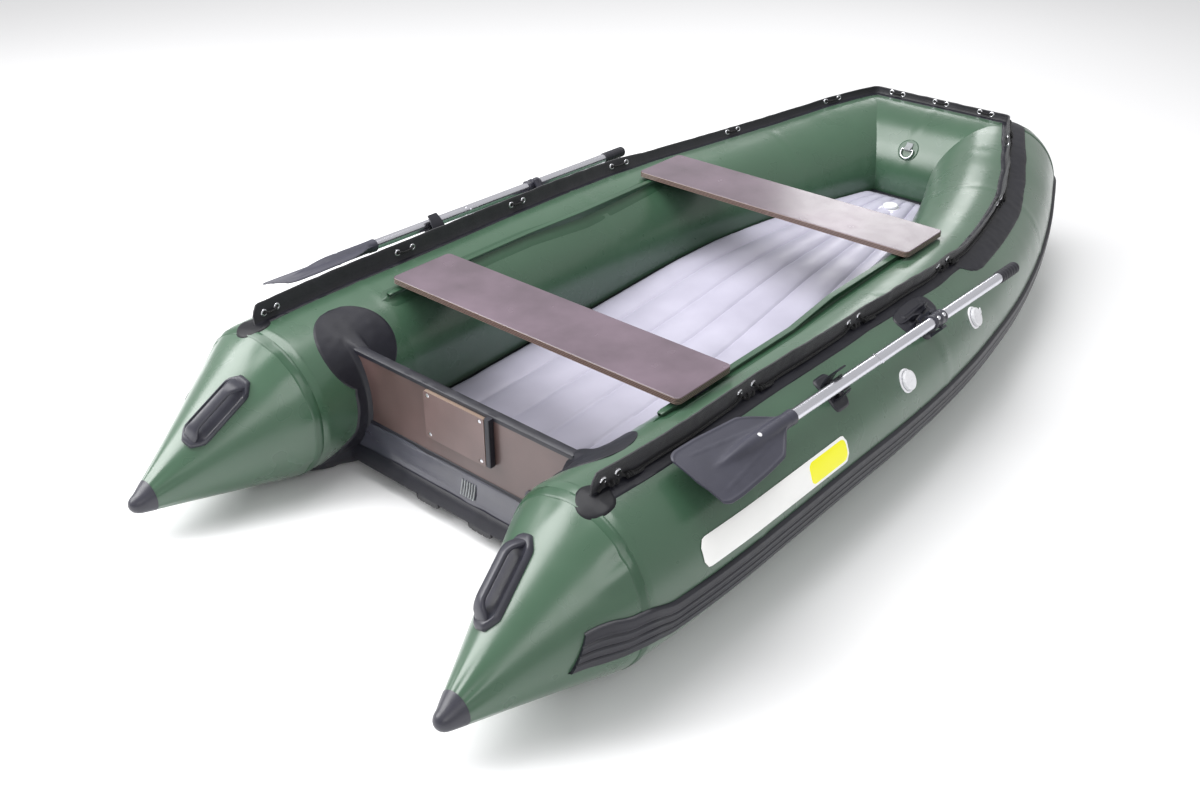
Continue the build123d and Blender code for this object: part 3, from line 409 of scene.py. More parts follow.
def material(name, rgb, rough=0.4, metal=0.0, vary=0.08, scale=6.0, bumps=(), coat=0.0,
             spec=0.5, rough_vary=0.08, sheen=0.0, light=None, stretch=(1, 1, 1)):
    """Mottled surface. scale is that of the mottling and light its lighter colour.

    bumps holds (kind, scale, strength, depth in mm).
    """
    mat = bpy.data.materials.new(name)
    mat.use_nodes = True
    tree = mat.node_tree
    link = tree.links.new
    shader = tree.nodes["Principled BSDF"]
    coords = add_node(tree, "TexCoord")
    mapping = add_node(tree, "Mapping", Scale=stretch)
    link(coords.outputs["Object"], mapping.inputs["Vector"])

    def texture(kind, **values):
        node = add_node(tree, kind, **values)
        link(mapping.outputs["Vector"], node.inputs["Vector"])
        return node

    mottle = texture("TexNoise", Scale=scale, Detail=6.0)
    base = srgb(rgb)[:3]
    dark = tuple(c * (1 - vary) for c in base) + (1.0,)
    bright = tuple(min(1.0, c * (1 + vary)) for c in base) + (1.0,)
    bright = srgb(light) if light else bright
    colour = add_ramp(tree, mottle.outputs["Fac"], ((0.35, dark), (0.68, bright)))
    link(colour, shader.inputs["Base Color"])
    spread = add_node(tree, "MapRange", To_Min=max(0.02, rough - rough_vary),
                      To_Max=rough + rough_vary)
    fine = texture("TexNoise", Scale=scale * 4)
    link(fine.outputs["Fac"], spread.inputs["Value"])
    link(spread.outputs["Result"], shader.inputs["Roughness"])
    set_inputs(shader, Metallic=metal, Specular_IOR_Level=spec, Coat_Weight=coat,
               Coat_Roughness=0.22, Sheen_Weight=sheen)
    normal = None
    for kind, bump_scale, strength, depth in bumps:
        if kind == "noise":
            height = texture("TexNoise", Scale=bump_scale, Detail=4.0).outputs["Fac"]
        elif kind == "voronoi":
            height = texture("TexVoronoi", Scale=bump_scale).outputs["Distance"]
        else:   # weave: two crossing sets of waves
            waves = [texture("TexWave", Scale=bump_scale, Distortion=0.3) for _ in range(2)]
            waves[0].bands_direction, waves[1].bands_direction = "Y", "DIAGONAL"
            cross = add_maths(tree, "MULTIPLY", waves[0].outputs["Fac"])
            link(waves[1].outputs["Fac"], cross.inputs[1])
            height = cross.outputs[0]
        bump = add_node(tree, "Bump", Strength=strength, Distance=depth * 0.001)
        link(height, bump.inputs["Height"])
        if normal:
            link(normal, bump.inputs["Normal"])
        normal = bump.outputs["Normal"]
    if normal:
        link(normal, shader.inputs["Normal"])
    return mat


PVC_BUMPS = (("noise", 2.2, 0.25, 4.0), ("noise", 12.0, 0.07, 0.8))
GREEN = material("pvc_green_satin", (54, 86, 64), rough=0.29, vary=0.06, scale=3.0,
                 bumps=PVC_BUMPS, coat=0.3, spec=0.65, sheen=0.12)
GREEN_LAP = material("pvc_green_lap", (48, 79, 58), rough=0.32, vary=0.07, scale=5.0,
                     bumps=PVC_BUMPS, coat=0.2)
BLACK = material("pvc_black_satin", (29, 29, 37), rough=0.46, vary=0.14, scale=9.0, coat=0.02,
                 bumps=(("noise", 5.0, 0.3, 3.0), ("noise", 40.0, 0.12, 0.4)), spec=0.34)
FOLDED = material("fabric_black_folded", (23, 23, 30), rough=0.5, vary=0.2, scale=14.0,
                  bumps=(("noise", 16.0, 0.5, 3.0), ("weave", 240.0, 0.4, 0.3)), sheen=0.2)
APRON = material("pvc_grey_gloss", (66, 66, 77), rough=0.20, vary=0.15, scale=5.0, coat=0.85,
                 bumps=(("noise", 9.0, 0.45, 3.0), ("noise", 22.0, 0.15, 0.8)),
                 rough_vary=0.04)
LILAC = material("pvc_lilac_floor", (178, 175, 192), rough=0.34, vary=0.05, scale=3.0,
                 light=(194, 191, 208), coat=0.15,
                 bumps=(("noise", 4.0, 0.2, 3.0), ("noise", 30.0, 0.06, 0.4)))
BOTTOM = material("pvc_dark_bottom", (54, 56, 62), rough=0.5, vary=0.12, scale=6.0,
                  bumps=(("noise", 6.0, 0.4, 4.0), ("weave", 200.0, 0.3, 0.3)))
RUBBER = material("rubber_black_ribbed", (29, 29, 38), rough=0.45, vary=0.12, scale=16.0,
                  bumps=(("noise", 90.0, 0.25, 0.4),), coat=0.05)
PLASTIC = material("plastic_black_moulded", (48, 48, 58), rough=0.38, vary=0.1, scale=20.0,
                   bumps=(("noise", 420.0, 0.35, 0.15),), coat=0.1)
BLADE = material("plastic_black_blade", (55, 55, 67), rough=0.45, vary=0.08, scale=12.0,
                 bumps=(("noise", 380.0, 0.35, 0.15), ("noise", 12.0, 0.2, 1.0)))
GRIP = material("grip_black_soft", (34, 34, 42), rough=0.6, vary=0.12, scale=20.0,
                bumps=(("voronoi", 500.0, 0.5, 0.3),))
ALUMINIUM = material("aluminium_drawn", (222, 222, 230), rough=0.24, metal=1.0, vary=0.05,
                     scale=30.0, stretch=(1, 0.06, 1), rough_vary=0.05,
                     bumps=(("noise", 60.0, 0.05, 0.1),))
STEEL = material("steel_plated", (215, 215, 220), rough=0.22, metal=1.0, vary=0.06,
                 scale=60.0, bumps=(("noise", 400.0, 0.15, 0.1),))
WHITE = material("plastic_white_moulded", (236, 236, 240), rough=0.3, vary=0.02, scale=20.0,
                 bumps=(("noise", 300.0, 0.15, 0.1),), coat=0.3)
CORD = material("cord_black_braid", (13, 13, 17), rough=0.62, vary=0.3, scale=200.0,
                bumps=(("weave", 420.0, 1.0, 0.9), ("noise", 500.0, 0.5, 0.4)), sheen=0.1,
                spec=0.3)
BLACK_GLOSS = material("pvc_black_gloss", (18, 18, 24), rough=0.46, vary=0.12, scale=9.0,
                       bumps=(("noise", 5.0, 0.12, 2.0), ("noise", 30.0, 0.06, 0.3)),
                       spec=0.28)
WEBBING = material("webbing_grey", (150, 154, 156), rough=0.55, vary=0.1, scale=60.0,
                   bumps=(("weave", 500.0, 0.8, 0.5),), sheen=0.2)
FILM = dict(rough=0.35, vary=0.01, scale=12.0, bumps=(("noise", 4.0, 0.06, 0.5),), coat=0.1)
LABEL = material("film_white", (248, 248, 246), **FILM)
YELLOW = material("film_yellow", (252, 248, 8), **FILM)
# near-black colour painted into the eyelet holes as their shade
HOLE_SHADE = material("painted_shade_hole", (12, 12, 14), rough=0.8, vary=0.2, scale=40.0,
                   bumps=(("noise", 100.0, 0.3, 0.5),))


def plywood(name, face, face_light, edge, edge_light, axis, pitch, rough=0.34):
    """Film-faced plywood. axis is the board's thin direction, pitch that of its plies (m)."""
    mat = material(name, face, rough=rough, vary=0.10, scale=5.0, light=face_light,
                   bumps=(("noise", 700.0, 0.25, 0.12), ("noise", 9.0, 0.15, 0.8)), coat=0.35)
    tree = mat.node_tree
    link = tree.links.new
    base = tree.nodes["Principled BSDF"].inputs["Base Color"]
    geometry = add_node(tree, "NewGeometry")
    normal = add_node(tree, "SeparateXYZ")
    link(geometry.outputs["Normal"], normal.inputs["Vector"])
    facing = add_maths(tree, "ABSOLUTE", normal.outputs[axis])
    on_face = add_node(tree, "MapRange", From_Min=0.55, From_Max=0.8)
    link(facing.outputs[0], on_face.inputs["Value"])
    coords = add_node(tree, "TexCoord")
    position = add_node(tree, "SeparateXYZ")
    link(coords.outputs["Object"], position.inputs["Vector"])
    phase = add_maths(tree, "MULTIPLY", position.outputs[axis])
    phase.inputs[1].default_value = 2 * pi / pitch
    plies = add_maths(tree, "SINE", phase.outputs[0])
    edge_colour = add_ramp(tree, plies.outputs[0],
                           ((0.3, srgb(edge)), (0.7, srgb(edge_light))))
    mix = add_node(tree, "Mix")
    mix.data_type = "RGBA"
    face_colour = base.links[0].from_socket
    # inputs 6 and 7 and output 2 are the colour sockets
    link(on_face.outputs["Result"], mix.inputs["Factor"])
    link(edge_colour, mix.inputs[6])
    link(face_colour, mix.inputs[7])
    link(mix.outputs[2], base)
    return mat


BENCH = plywood("film_faced_ply_bench", face=(92, 78, 88), face_light=(108, 92, 104),
                edge=(84, 68, 66), edge_light=(150, 128, 118), axis="Z", pitch=0.0045,
                rough=0.24)
BOARD = plywood("film_faced_ply_board", face=(84, 66, 64), face_light=(98, 78, 76),
                edge=(90, 72, 66), edge_light=(150, 128, 110), axis="Y", pitch=0.0042)
PAD = plywood("film_faced_ply_pad", face=(98, 78, 76), face_light=(112, 90, 88),
              edge=(118, 98, 86), edge_light=(156, 138, 122), axis="Y", pitch=0.0035)


def dress(surface, *nodes, bevel=0.0):
    """Give CAD pieces a material and, with a bevel in mm, softened edges."""
    for node in nodes:
        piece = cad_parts[node]
        piece.data.materials.clear()
        piece.data.materials.append(surface)
        for face in piece.data.polygons:
            face.material_index = 0
        if bevel:
            edge = piece.modifiers.new("edge", "BEVEL")
            edge.width, edge.segments = bevel * 0.001, 2
            edge.limit_method, edge.angle_limit = "ANGLE", radians(40)


# ------------------------------------------------------------------- tubes
HOOP = [360.0 * i / 112 for i in range(112)]   # angles of the points round a tube
RINGS_Y = [-1020.0, -50.0, 905.0]              # raised bands round the side tube


def hoop(station, key, relief):
    return [on_tube(station, angle, relief(key, angle)) for angle in HOOP]


def unevenness(key, angle, scale=1.2, shift=0.0):
    return ripple(key, cos(radians(angle)) * scale, sin(radians(angle)) * scale + shift)


def side_relief(y, angle):
    lift = 0.7 * unevenness(y / 190.0, angle)
    for ring_y in RINGS_Y:
        gap = abs(y - ring_y)
        if gap < 20:
            lift += 1.0 * smooth(20, 16, gap) + 0.35 * ripple(y / 9.0, angle / 5.0, 3.1)
    # folds towards the bow corner, then puckers before the cone
    lift += (smooth(-1120, -1350, y) * smooth(60, 100, angle)
             * (2.2 * sin(angle / 7.0 + y / 60.0) * ripple(y / 45.0, angle / 30.0, 5.0) - 1.0))
    lift += smooth(1215, 1258, y) * 1.1 * ripple(angle / 9.0, y / 60.0, 1.7)
    # lap seam along the tube, low on its inboard side
    return lift + 0.9 * smooth(20, 17, radians(abs(angle - 232.0)) * TUBE_R)


rows = [hoop(side_station(y), y, side_relief)
        for y in list(np.arange(BOW_Y, SEAM_Y - 1, 13.0)) + [SEAM_Y]]
pair("tube_skin", Shape().sleeve(rows), [GREEN], "pvc_green", "{}_tube", angle=60)


def bow_relief(x, angle):
    lift = 0.7 * unevenness(x / 190.0 + 9, angle)
    folds = smooth(130, 200, abs(x)) * smooth(70, 110, min(angle, 360 - angle))
    lift += folds * (2.4 * sin(angle / 6.0 + x / 40.0) * ripple(x / 40.0, angle / 30.0, 2.0)
                     - 1.0)
    return lift + 0.8 * smooth(14, 11, abs(x))     # band round the middle


shape = Shape().sleeve([hoop(bow_station(x), x, bow_relief)
                        for x in np.arange(-BOW_X, BOW_X + 1, 9.5)])
TAPE = ((-13, 0.1), (-11, 1.3), (11, 1.3), (13, 0.1))    # along the tube, height
for sign in (1, -1):
    rows = []
    for turn in np.linspace(0, CORNER, 15):
        station = corner_station(turn)
        rows.append([on_tube(station, angle, 0.5 * ripple(turn / 20.0, angle / 40.0, 4.0))
                     * vec(sign, 1, 1) for angle in np.linspace(-92, 92, 61)])
    shape.sheet(rows)
    for turn in (0.0, 33.0, CORNER):       # taped joints of the corner panels
        station = corner_station(turn)
        shape.sheet([[(on_tube(station, angle,
                               lift + 0.3 * ripple(angle / 6.0, turn, shift / 9.0))
                       + station.along * shift) * vec(sign, 1, 1)
                      for angle in np.linspace(-80, 78, 60)] for shift, lift in TAPE], 1)
make("bow_tube_skin", shape, [GREEN, GREEN_LAP], "pvc_green", "bow_tube", angle=60)

# Long folds in the cone: angle, width, depth, y where they end
FOLD_Y = 1300
FOLDS = ((30.0, 5.0, -3.2, 1405), (47.0, 4.0, -2.4, 1380), (104.0, 5.0, -2.2, 1375),
         (140.0, 5.0, -2.0, 1390))


def cone_relief(y, angle):
    lift = 0.6 * unevenness(y / 120.0, angle, 1.3, 4)
    # gathers fading away from the seam, on the upper side
    gather = exp(-max(0.0, y - SEAM_Y - 32) / 42.0) * smooth(SEAM_Y + 6, SEAM_Y + 40, y)
    upper = smooth(-40, 20, angle if angle < 270 else angle - 360)
    pleats = 2.6 * sin(radians(angle * 13.0) + 3.0 * ripple(angle / 25.0, 0.3, 0.1))
    lift += gather * upper * (pleats * (0.35 + abs(ripple(angle / 33.0, 1.0, 7.0)) * 1.7))
    for fold_angle, width, depth, end in FOLDS:
        middle = fold_angle + (y - FOLD_Y) * 0.03
        lift += (depth * hump(angle, middle, width) * smooth(FOLD_Y - 10, FOLD_Y + 15, y)
                 * smooth(end, FOLD_Y + 20, y))
    # puckers at the tip, then a lap seam low on the outboard side
    lift += (smooth(1560, 1680, y) * 0.8
             * sin(radians(angle * 11.0) + 2.0 * ripple(angle / 30.0, 0.2, 0.9)))
    return lift + 0.9 * smooth(14, 11, radians(abs(angle - 300.0)) * cone_r(y)[0])


cone_y = (list(np.arange(SEAM_Y - 8, 1400, 5.0)) + list(np.arange(1400, TIP_Y - 10, 12.0))
          + [TIP_Y])
shape = Shape().sleeve([hoop(side_station(y), y, cone_relief) for y in cone_y])
# closing tape where the cone joins the tube
rows = []
for shift, lift in ((22, -0.8), (24, 1.3), (32, 1.6), (40, 1.5), (44, 1.9), (46, -0.8)):
    y = SEAM_Y + shift
    rows.append([on_tube(side_station(y + 1.2 * ripple(angle / 12.0, shift, 0)), angle,
                         lift + 0.5 * ripple(angle / 5.0, shift / 12.0, 6.0)
                         + cone_relief(y, angle) * 0.8) for angle in HOOP])
shape.sleeve(rows, 1)
pair("stern_cone_skin", shape, [GREEN, GREEN_LAP], "pvc_green", "stern_cones", "seam_tapes",
     angle=60)

# moulded caps on the cone tips, following the cone's own fall
CAP_R = cone_r(TIP_Y - 36)[0]
CAP = [(CAP_R - 0.6, -36.6), (CAP_R + 1.6, -35.6), (cone_r(TIP_Y - 20)[0] + 1.9, -20),
       (28.6, -2), (25.5, 6), (22, 13), (17, 19), (11, 23), (5, 25), (0.1, 25.5)]
rings = lathe(axes_at((TIP_X, TIP_Y, TIP_Z), (0, 1, 0), (1, 0, 0)), CAP)
for ring, (_, shift) in zip(rings, CAP):
    ring[:, 2] += cone_z(TIP_Y + shift)[0] - TIP_Z
pair("cone_tip_cap", Shape().sleeve(rings), [PLASTIC], "plastic_black", "cone_caps", angle=50)

# --------------------------------------------------------- floor and bottom
# Top of the floor: y, z
FLOOR_TOP = [(-1330, 245), (-1067, 243), (-750, 238), (-480, 228), (-314, 212), (-120, 186),
             (70, 162), (400, 142), (700, 125), (1052, 114.5)]
FLOOR_END = 1052.0
CHANNELS = 6


def floor_top(y):
    """Floor height, averaged over a short length."""
    weights = ((-40, 1), (-20, 2), (0, 3), (20, 2), (40, 1))
    return sum(weight * straight(FLOOR_TOP, y + shift) for shift, weight in weights) / 9.0


def boundary(height):
    """Where a sheet of the given height meets the side tube inboard: (y, x) in order."""
    out = []
    for y in np.arange(BOW_Y, SEAM_Y, 12.0):
        station = side_station(y)
        rise = height(y) - station.centre[2]
        if abs(rise) < TUBE_R:
            point = station.centre - station.out * sqrt(TUBE_R * TUBE_R - rise * rise)
            out.append((point[1], point[0]))
    return sorted(out)


floor_edge = boundary(floor_top)
FLOOR_FRONT = BOW_Y + sqrt(TUBE_R * TUBE_R - (FLOOR_TOP[0][1] - BOW_Z) ** 2)
floor_y = list(np.arange(FLOOR_FRONT - 8, FLOOR_END + 1, 12.0)) + [FLOOR_END]
rows, under = [], []
for y in floor_y:
    width = straight(floor_edge, y) + 5
    top = floor_top(y)
    full = smooth(1056, 985, y) * smooth(FLOOR_FRONT - 4, FLOOR_FRONT + 60, y)
    row = []
    for u in np.linspace(-1, 1, 121):
        arch = abs(sin(pi * CHANNELS * (u + 1) / 2.0))
        z = top - 6.0 + 11.0 * (arch ** 0.55) * full - 9.0 * (1 - full) * 0.6
        z += 1.6 * ripple(u * 5.0, y / 70.0, 2.0) * full
        # puckers along the valleys
        z += (1.2 * sin(y / 26.0 + 3 * ripple(u * 5, y / 240.0, 1.0)) * hump(arch, 0, 0.35)
              * max(0.0, ripple(y / 160.0, u * 3, 9.0)))
        z -= 9.0 * smooth(width - 22, width, abs(u * width))
        row.append(vec(u * width, y, min(z, top + 6.5)))
    rows.append(row)
    under.append([vec(u * width, y, max(56.0, top - 60.0)) for u in np.linspace(-1, 1, 13)])
shape = Shape().sheet(rows).sheet(under)
rim = rows[-1][::10]
shape.sheet([rim, [vec(point[0], FLOOR_END + 1, 56.0) for point in rim]])
# dark tape along the sides and the front: offsets across, and height
SIDE_TAPE = ((-24, -5.0), (-22, -2.2), (-9, -1.6), (1, -4.0), (6, -13.0))
FRONT_TAPE = ((14, 239.5), (10, 241.5), (-1, 240.0), (-6, 234))
for sign in (1, -1):
    rows = []
    for y in floor_y[1:]:
        width, top = straight(floor_edge, y), floor_top(y)
        rows.append([vec(sign * (width + shift), y, top + lift) for shift, lift in SIDE_TAPE])
    shape.sheet(rows, 1)
width = straight(floor_edge, FLOOR_FRONT + 2) + 4
shape.sheet([[vec(x, FLOOR_FRONT + shift, z) for shift, z in FRONT_TAPE]
             for x in np.linspace(-width, width, 16)], 1)
make("floor_skin", shape, [LILAC, BLACK], "pvc_grey", "inflatable_floor", angle=60)

# Bottom sheet: y, z
BOTTOM_Z = [(-1400, 128), (-1150, 95), (-900, 73.5), (-500, 54), (0, 50.0), (1130, 50.0)]
bottom_edge = boundary(lambda y: straight(BOTTOM_Z, y))
rows = []
for y in np.arange(-1380, 1131, 24.0):
    width = straight(bottom_edge, y) + 12
    rows.append([vec(u * width, y, straight(BOTTOM_Z, y) - 1.5
                     - 5.0 * (1 - abs(u)) * smooth(-1380, -900, y)
                     + 2.2 * ripple(u * 4, y / 90.0, 3.0) * (1 - u * u))
                 for u in np.linspace(-1, 1, 61)])
shape = Shape().sheet(rows)
for x in (-330, 0, 330):          # lap seams along the bottom
    shape.sheet([[vec(x + shift, y, straight(BOTTOM_Z, y) + lift
                      + 5.0 * abs(x) / 480 * smooth(-1380, -900, y))
                  for shift, lift in ((-14, -6.5), (0, -8.8), (14, -6.5))]
                 for y in np.arange(-1000, 1120, 40.0)], 1)
make("bottom_sheet", shape, [BOTTOM, BLACK], "pvc_black", "bottom_skin", angle=60)

# ribbed runners: one under each tube, two under the bottom
rows = []
for y in np.arange(-720, 1191, 16.0):
    x, _, z = side_station(y).centre
    lift = (1 - smooth(-722, -640, y) * smooth(1192, 1120, y)) * 7
    root = z - sqrt(TUBE_R * TUBE_R - 33 * 33) + 1
    rows.append([vec(x - 33, y, root), vec(x - 30, y, 6)]
                + [vec(x + u * 28, y, (2.0 if j % 6 == 3 else 0.0) + lift)
                   for j, u in enumerate(np.linspace(-1, 1, 25))]
                + [vec(x + 30, y, 6), vec(x + 33, y, root)])
pair("tube_runner", Shape().sheet(rows), [RUBBER], "pvc_black", "wear_strips")
rows = []
for y in np.arange(-520, 1141, 20.0):
    lift = (1 - smooth(-522, -470, y)) * 10
    rows.append([vec(60, y, 49)]
                + [vec(103 + u * 43, y,
                       31.0 + (3.0 if j % 8 == 4 else 0.0) + lift + 5 * abs(u) ** 8)
                   for j, u in enumerate(np.linspace(-1, 1, 33))]
                + [vec(146, y, 49)])
shape = Shape().sheet(rows).sheet([rows[-1], [vec(point[0], 1138, 49) for point in rows[-1]]])
pair("bottom_runner", shape, [FOLDED], "pvc_black")

# ----------------------------------------------------------------- transom
dress(BOARD, "transom_board", bevel=1.5)
dress(PAD, "motor_pad_outer", "motor_pad_inner", bevel=1.2)
dress(STEEL, "motor_pad_screws", bevel=0.5)
dress(RUBBER, "motor_stop_bar", bevel=1.0)
dress(PLASTIC, "drain_sleeve", "drain_plug", bevel=1.0)
dress(GREEN, "chamber_baffles")

# rubber profile on the board's top edge: y and z from the board's front top edge
BOARD_Y, BOARD_TOP = 1075, 396
TRIM = [(-2.6, -10), (-3.0, -2), (-2.4, 1.4), (-0.6, 3.0), (12.5, 3.6), (25.6, 3.0),
        (27.4, 1.4), (28.0, -2), (27.6, -10), (25.4, -10.6), (25.2, 0.2), (-0.2, 0.2),
        (-0.4, -10.6)]
rows = [[vec(x, BOARD_Y + y, BOARD_TOP + z + 0.5 * ripple(x / 40.0, y / 9.0, 0))
         for y, z in TRIM] for x in np.linspace(-410, 410, 83)]
make("transom_top_profile", Shape().solid(rows), [RUBBER], "pvc_black", "transom_top_trim")

# moulded holder: a round patch running down into a leg, with a ridge round the board's end
HOLDER_ANGLE, HOLDER_Y, HOLDER_R, HOLDER_END = 139.0, 1076.0, 134.0, 330
RIDGE_Y = 1087.5
rows = []
for t in steps(70):
    down = -HOLDER_R + (HOLDER_END + HOLDER_R) * t    # arc length below the patch's centre
    disc = sqrt(max(0.0, HOLDER_R**2 - down * down))
    width = max(disc, (80.0 + 8 * smooth(150, 320, down)) * smooth(20, 130, down))
    if down < -133:
        width = 2.0
    rise = smooth(-40, 50, down)
    row = []
    for u in np.linspace(-1, 1, 61):
        y = HOLDER_Y + u * width
        gap = y - RIDGE_Y
        rim = smooth(1.0, 0.93, abs(u)) * smooth(-135, -128, down)
        ridge = 29.0 * rise * hump(max(0.0, abs(gap) - 15.0), 0, 13.0)
        soft = 9.0 * smooth(-95, 20, down) * hump(gap, 0, 62.0)
        groove = -2.2 * hump(abs(gap), 34.0, 4.0) * rise
        lift = (2.6 + ridge + soft + groove + 1.2 * ripple(down / 26.0, y / 40.0, 3.0)
                + 2.2 * smooth(40, 90, down) * hump(gap, -48, 7.0)) * rim
        row.append(on_tube(side_station(y), HOLDER_ANGLE + degrees(down / TUBE_R),
                           lift - (0.8 if abs(u) == 1 else 0.0)))
    rows.append(row)
shape = Shape().sheet(rows)
# black folded sheet from the holder's foot round under the tube towards the stern, painted shade
# in the pocket under the tube
rows = []
for t in steps(33):
    half = 36.0 * (1 - t) ** 0.6 + 1.5
    row = []
    for u in np.linspace(-1, 1, 30):
        fold = abs(sin(u * 5.0 + t * 5.0 + 1.5 * ripple(t * 3, u * 2, 1.0)))
        lift = 1.6 + (1 - t) ** 0.7 * (46.0 * hump(u, 0.25, 0.5) + 6.0 * fold
                                       + 2.0 * ripple(u * 3, t * 5, 4.0))
        row.append(on_tube(side_station(1096 + 170 * t + 5 * ripple(u * 2, t * 3, 8.0)),
                           222 + 22 * t + u * half, -0.8 if abs(u) == 1 else max(0.9, lift)))
    rows.append(row)
shape.sheet(rows)
# the holder and the painted shade sheet under the tube, as one object
pair("board_holder", shape, [BLACK], "pvc_black", "transom_holder_{}", angle=60)

# apron: glossy sheet from the board's rear face to the bottom, gathered at its ends: y, z
APRON_LINE = [(1101.0, 178), (1103.5, 176), (1105, 160), (1107, 142), (1111, 124),
              (1116, 104), (1121, 86), (1127, 68), (1131.5, 58), (1132, 53), (1128, 50.5),
              (1110, 50)]
rows = []
for x in np.linspace(-505, 505, 151):
    row = []
    for i, (y, z) in enumerate(APRON_LINE):
        loose = min(1.0, i / 4.0) * (1.0 if i < 9 else 0.2)
        billow = (6.0 * sin(z / 10.5 + 1.5 * ripple(x / 190.0, 2.0, 1.0))
                  * (0.5 + 0.5 * ripple(x / 160.0, 6.0, 2.0)))
        gather = smooth(330, 500, abs(x)) * 5.0 * ripple(x / 14.0, z / 60.0, 4.0)
        crease = (2.0 * sin(z / 9.0 + 2.5 * ripple(x / 150.0, 1.0, 1.0))
                  * abs(ripple(x / 110.0, 3.0, z / 70.0)))
        out = loose * (2.2 * ripple(x / 90.0, z / 25.0, 2.0) + billow + gather + crease)
        row.append(vec(x, y + out, z + loose * 2.0 * ripple(x / 45.0, 7.0, z / 30.0)))
    rows.append(row)
shape = Shape().sheet(rows)
# raised hem along the board and a tape along the fold
rows = []
for x in np.linspace(-500, 500, 101):
    stray = ripple(x / 50.0, 1, 1)
    rows.append([vec(x, y, z) for y, z in ((1100.4, 184 + stray), (1102.6, 183 + stray),
                                           (1103.2, 178), (1103.4, 168), (1101.0, 166))])
shape.sheet(rows, 1)
rows = []
for x in np.linspace(-500, 500, 151):
    stray = 3 * ripple(x / 70.0, 2, 1)
    line = ((1122.5, 96 + stray), (1127.5, 94 + stray),
            (1133.0 + 2.5 * ripple(x / 40.0, 5, 1), 74),
            (1139.2 + 2 * ripple(x / 50.0, 3, 1), 56), (1138.4, 46), (1120, 44))
    rows.append([vec(x, y, z) for y, z in line])
shape.sheet(rows, 1)
for i in range(6):      # small ribbed patch
    rib = [vec(-62 + i * 9.5, y, z)
           for y, z in ((1108.2, 154), (1110.6, 138), (1114.0, 124), (1118.2, 110))]
    pipe(shape, spline(rib, 4), 2.4, 8, slot=2)
make("transom_apron_sheet", shape, [APRON, BLACK, WEBBING], "pvc_grey", "transom_apron",
     angle=60)

# ----------------------------------------------------------- rails, benches
dress(BENCH, "rear_bench", "front_bench")
dress(PLASTIC, "rear_bench_slides", "front_bench_slides", bevel=1.0)
# Bench rail: y, x, z of its top
RAIL = [(-520, 485, 466.0), (60, 485, 466.0), (300, 505, 461.0), (891, 505, 461.0)]


def tube_top(station, x):
    """Height of the side tube's upper surface at x."""
    return station.centre[2] + sqrt(max(1.0, TUBE_R * TUBE_R - (x - station.centre[0]) ** 2))


rows = []
for y in np.arange(-520, 892, 7.0):
    x = straight(RAIL, y)
    full = smooth(-524, -490, y) * smooth(900, 874, y)
    half = 9.2 * (0.55 + 0.45 * full)
    top = straight(RAIL, y, 2) - 0.1 - 5 * (1 - full)
    base = top - 3.6
    # half section: across, z
    section = [(3.4, tube_top(side_station(y), x) - 24), (3.2, base - 4), (4.4, base - 0.8),
               (half, base + 0.1 * ripple(y / 30.0, 1, 1)), (half + 0.6, (base + top) / 2),
               (half - 0.6, top - 0.2), (3, top)]
    rows.append([vec(x - shift, y, z) for shift, z in section]
                + [vec(x + shift, y, z) for shift, z in reversed(section)])
shape = Shape().sheet(rows)
# glued foot of the rail, spread over the tube: across, height
FOOT = ((-30, -0.8), (-28, 1.2), (-16, 1.5), (-5, 2.6), (-3.4, 7), (3.4, 7), (5, 2.6),
        (16, 1.5), (28, 1.2), (30, -0.8))
rows = []
for y in np.arange(-545, 916, 9.0):
    station = side_station(y)
    full = (sqrt(max(0.0, 1 - smooth(870, 916, y) ** 2))
            * sqrt(max(0.0, 1 - smooth(-500, -545, y) ** 2)))
    row = []
    for shift, lift in FOOT:
        x = straight(RAIL, y) + shift * max(0.05, full)
        row.append(vec(x, y, tube_top(station, x) + lift * (1 if abs(shift) > 20 else full)))
    rows.append(row)
shape.sheet(rows)
pair("bench_rail", shape, [GREEN_LAP], "pvc_green", "bench_rails", angle=50)


# ------------------------------------------------------------ lacing strips
def lace_axes(station, lean):
    """Root of the flap on the tube, its upward direction and the one outboard across it."""
    turn = radians(90 - lean)
    upward = station.out * cos(turn) + station.up * sin(turn)
    outboard = station.out * sin(turn) - station.up * cos(turn)
    return station.centre + upward * station.radius, upward, outboard


def lace_point(station, lean, height, shift):
    root, upward, outboard = lace_axes(station, lean)
    return root + upward * (0.5 + height) + outboard * shift


def lace_key(station):
    return station.centre[1] + station.centre[0] * 1.3


def flap_wave(station, height):
    """Sideways wander of the flap, growing up to 26 mm above its root."""
    key = lace_key(station)
    return ((2.2 * ripple(key / 75.0, 5.0, 0.0) + 0.9 * ripple(key / 22.0, 1.0, 3.0))
            * 0.9 * min(1.0, height / 26.0))


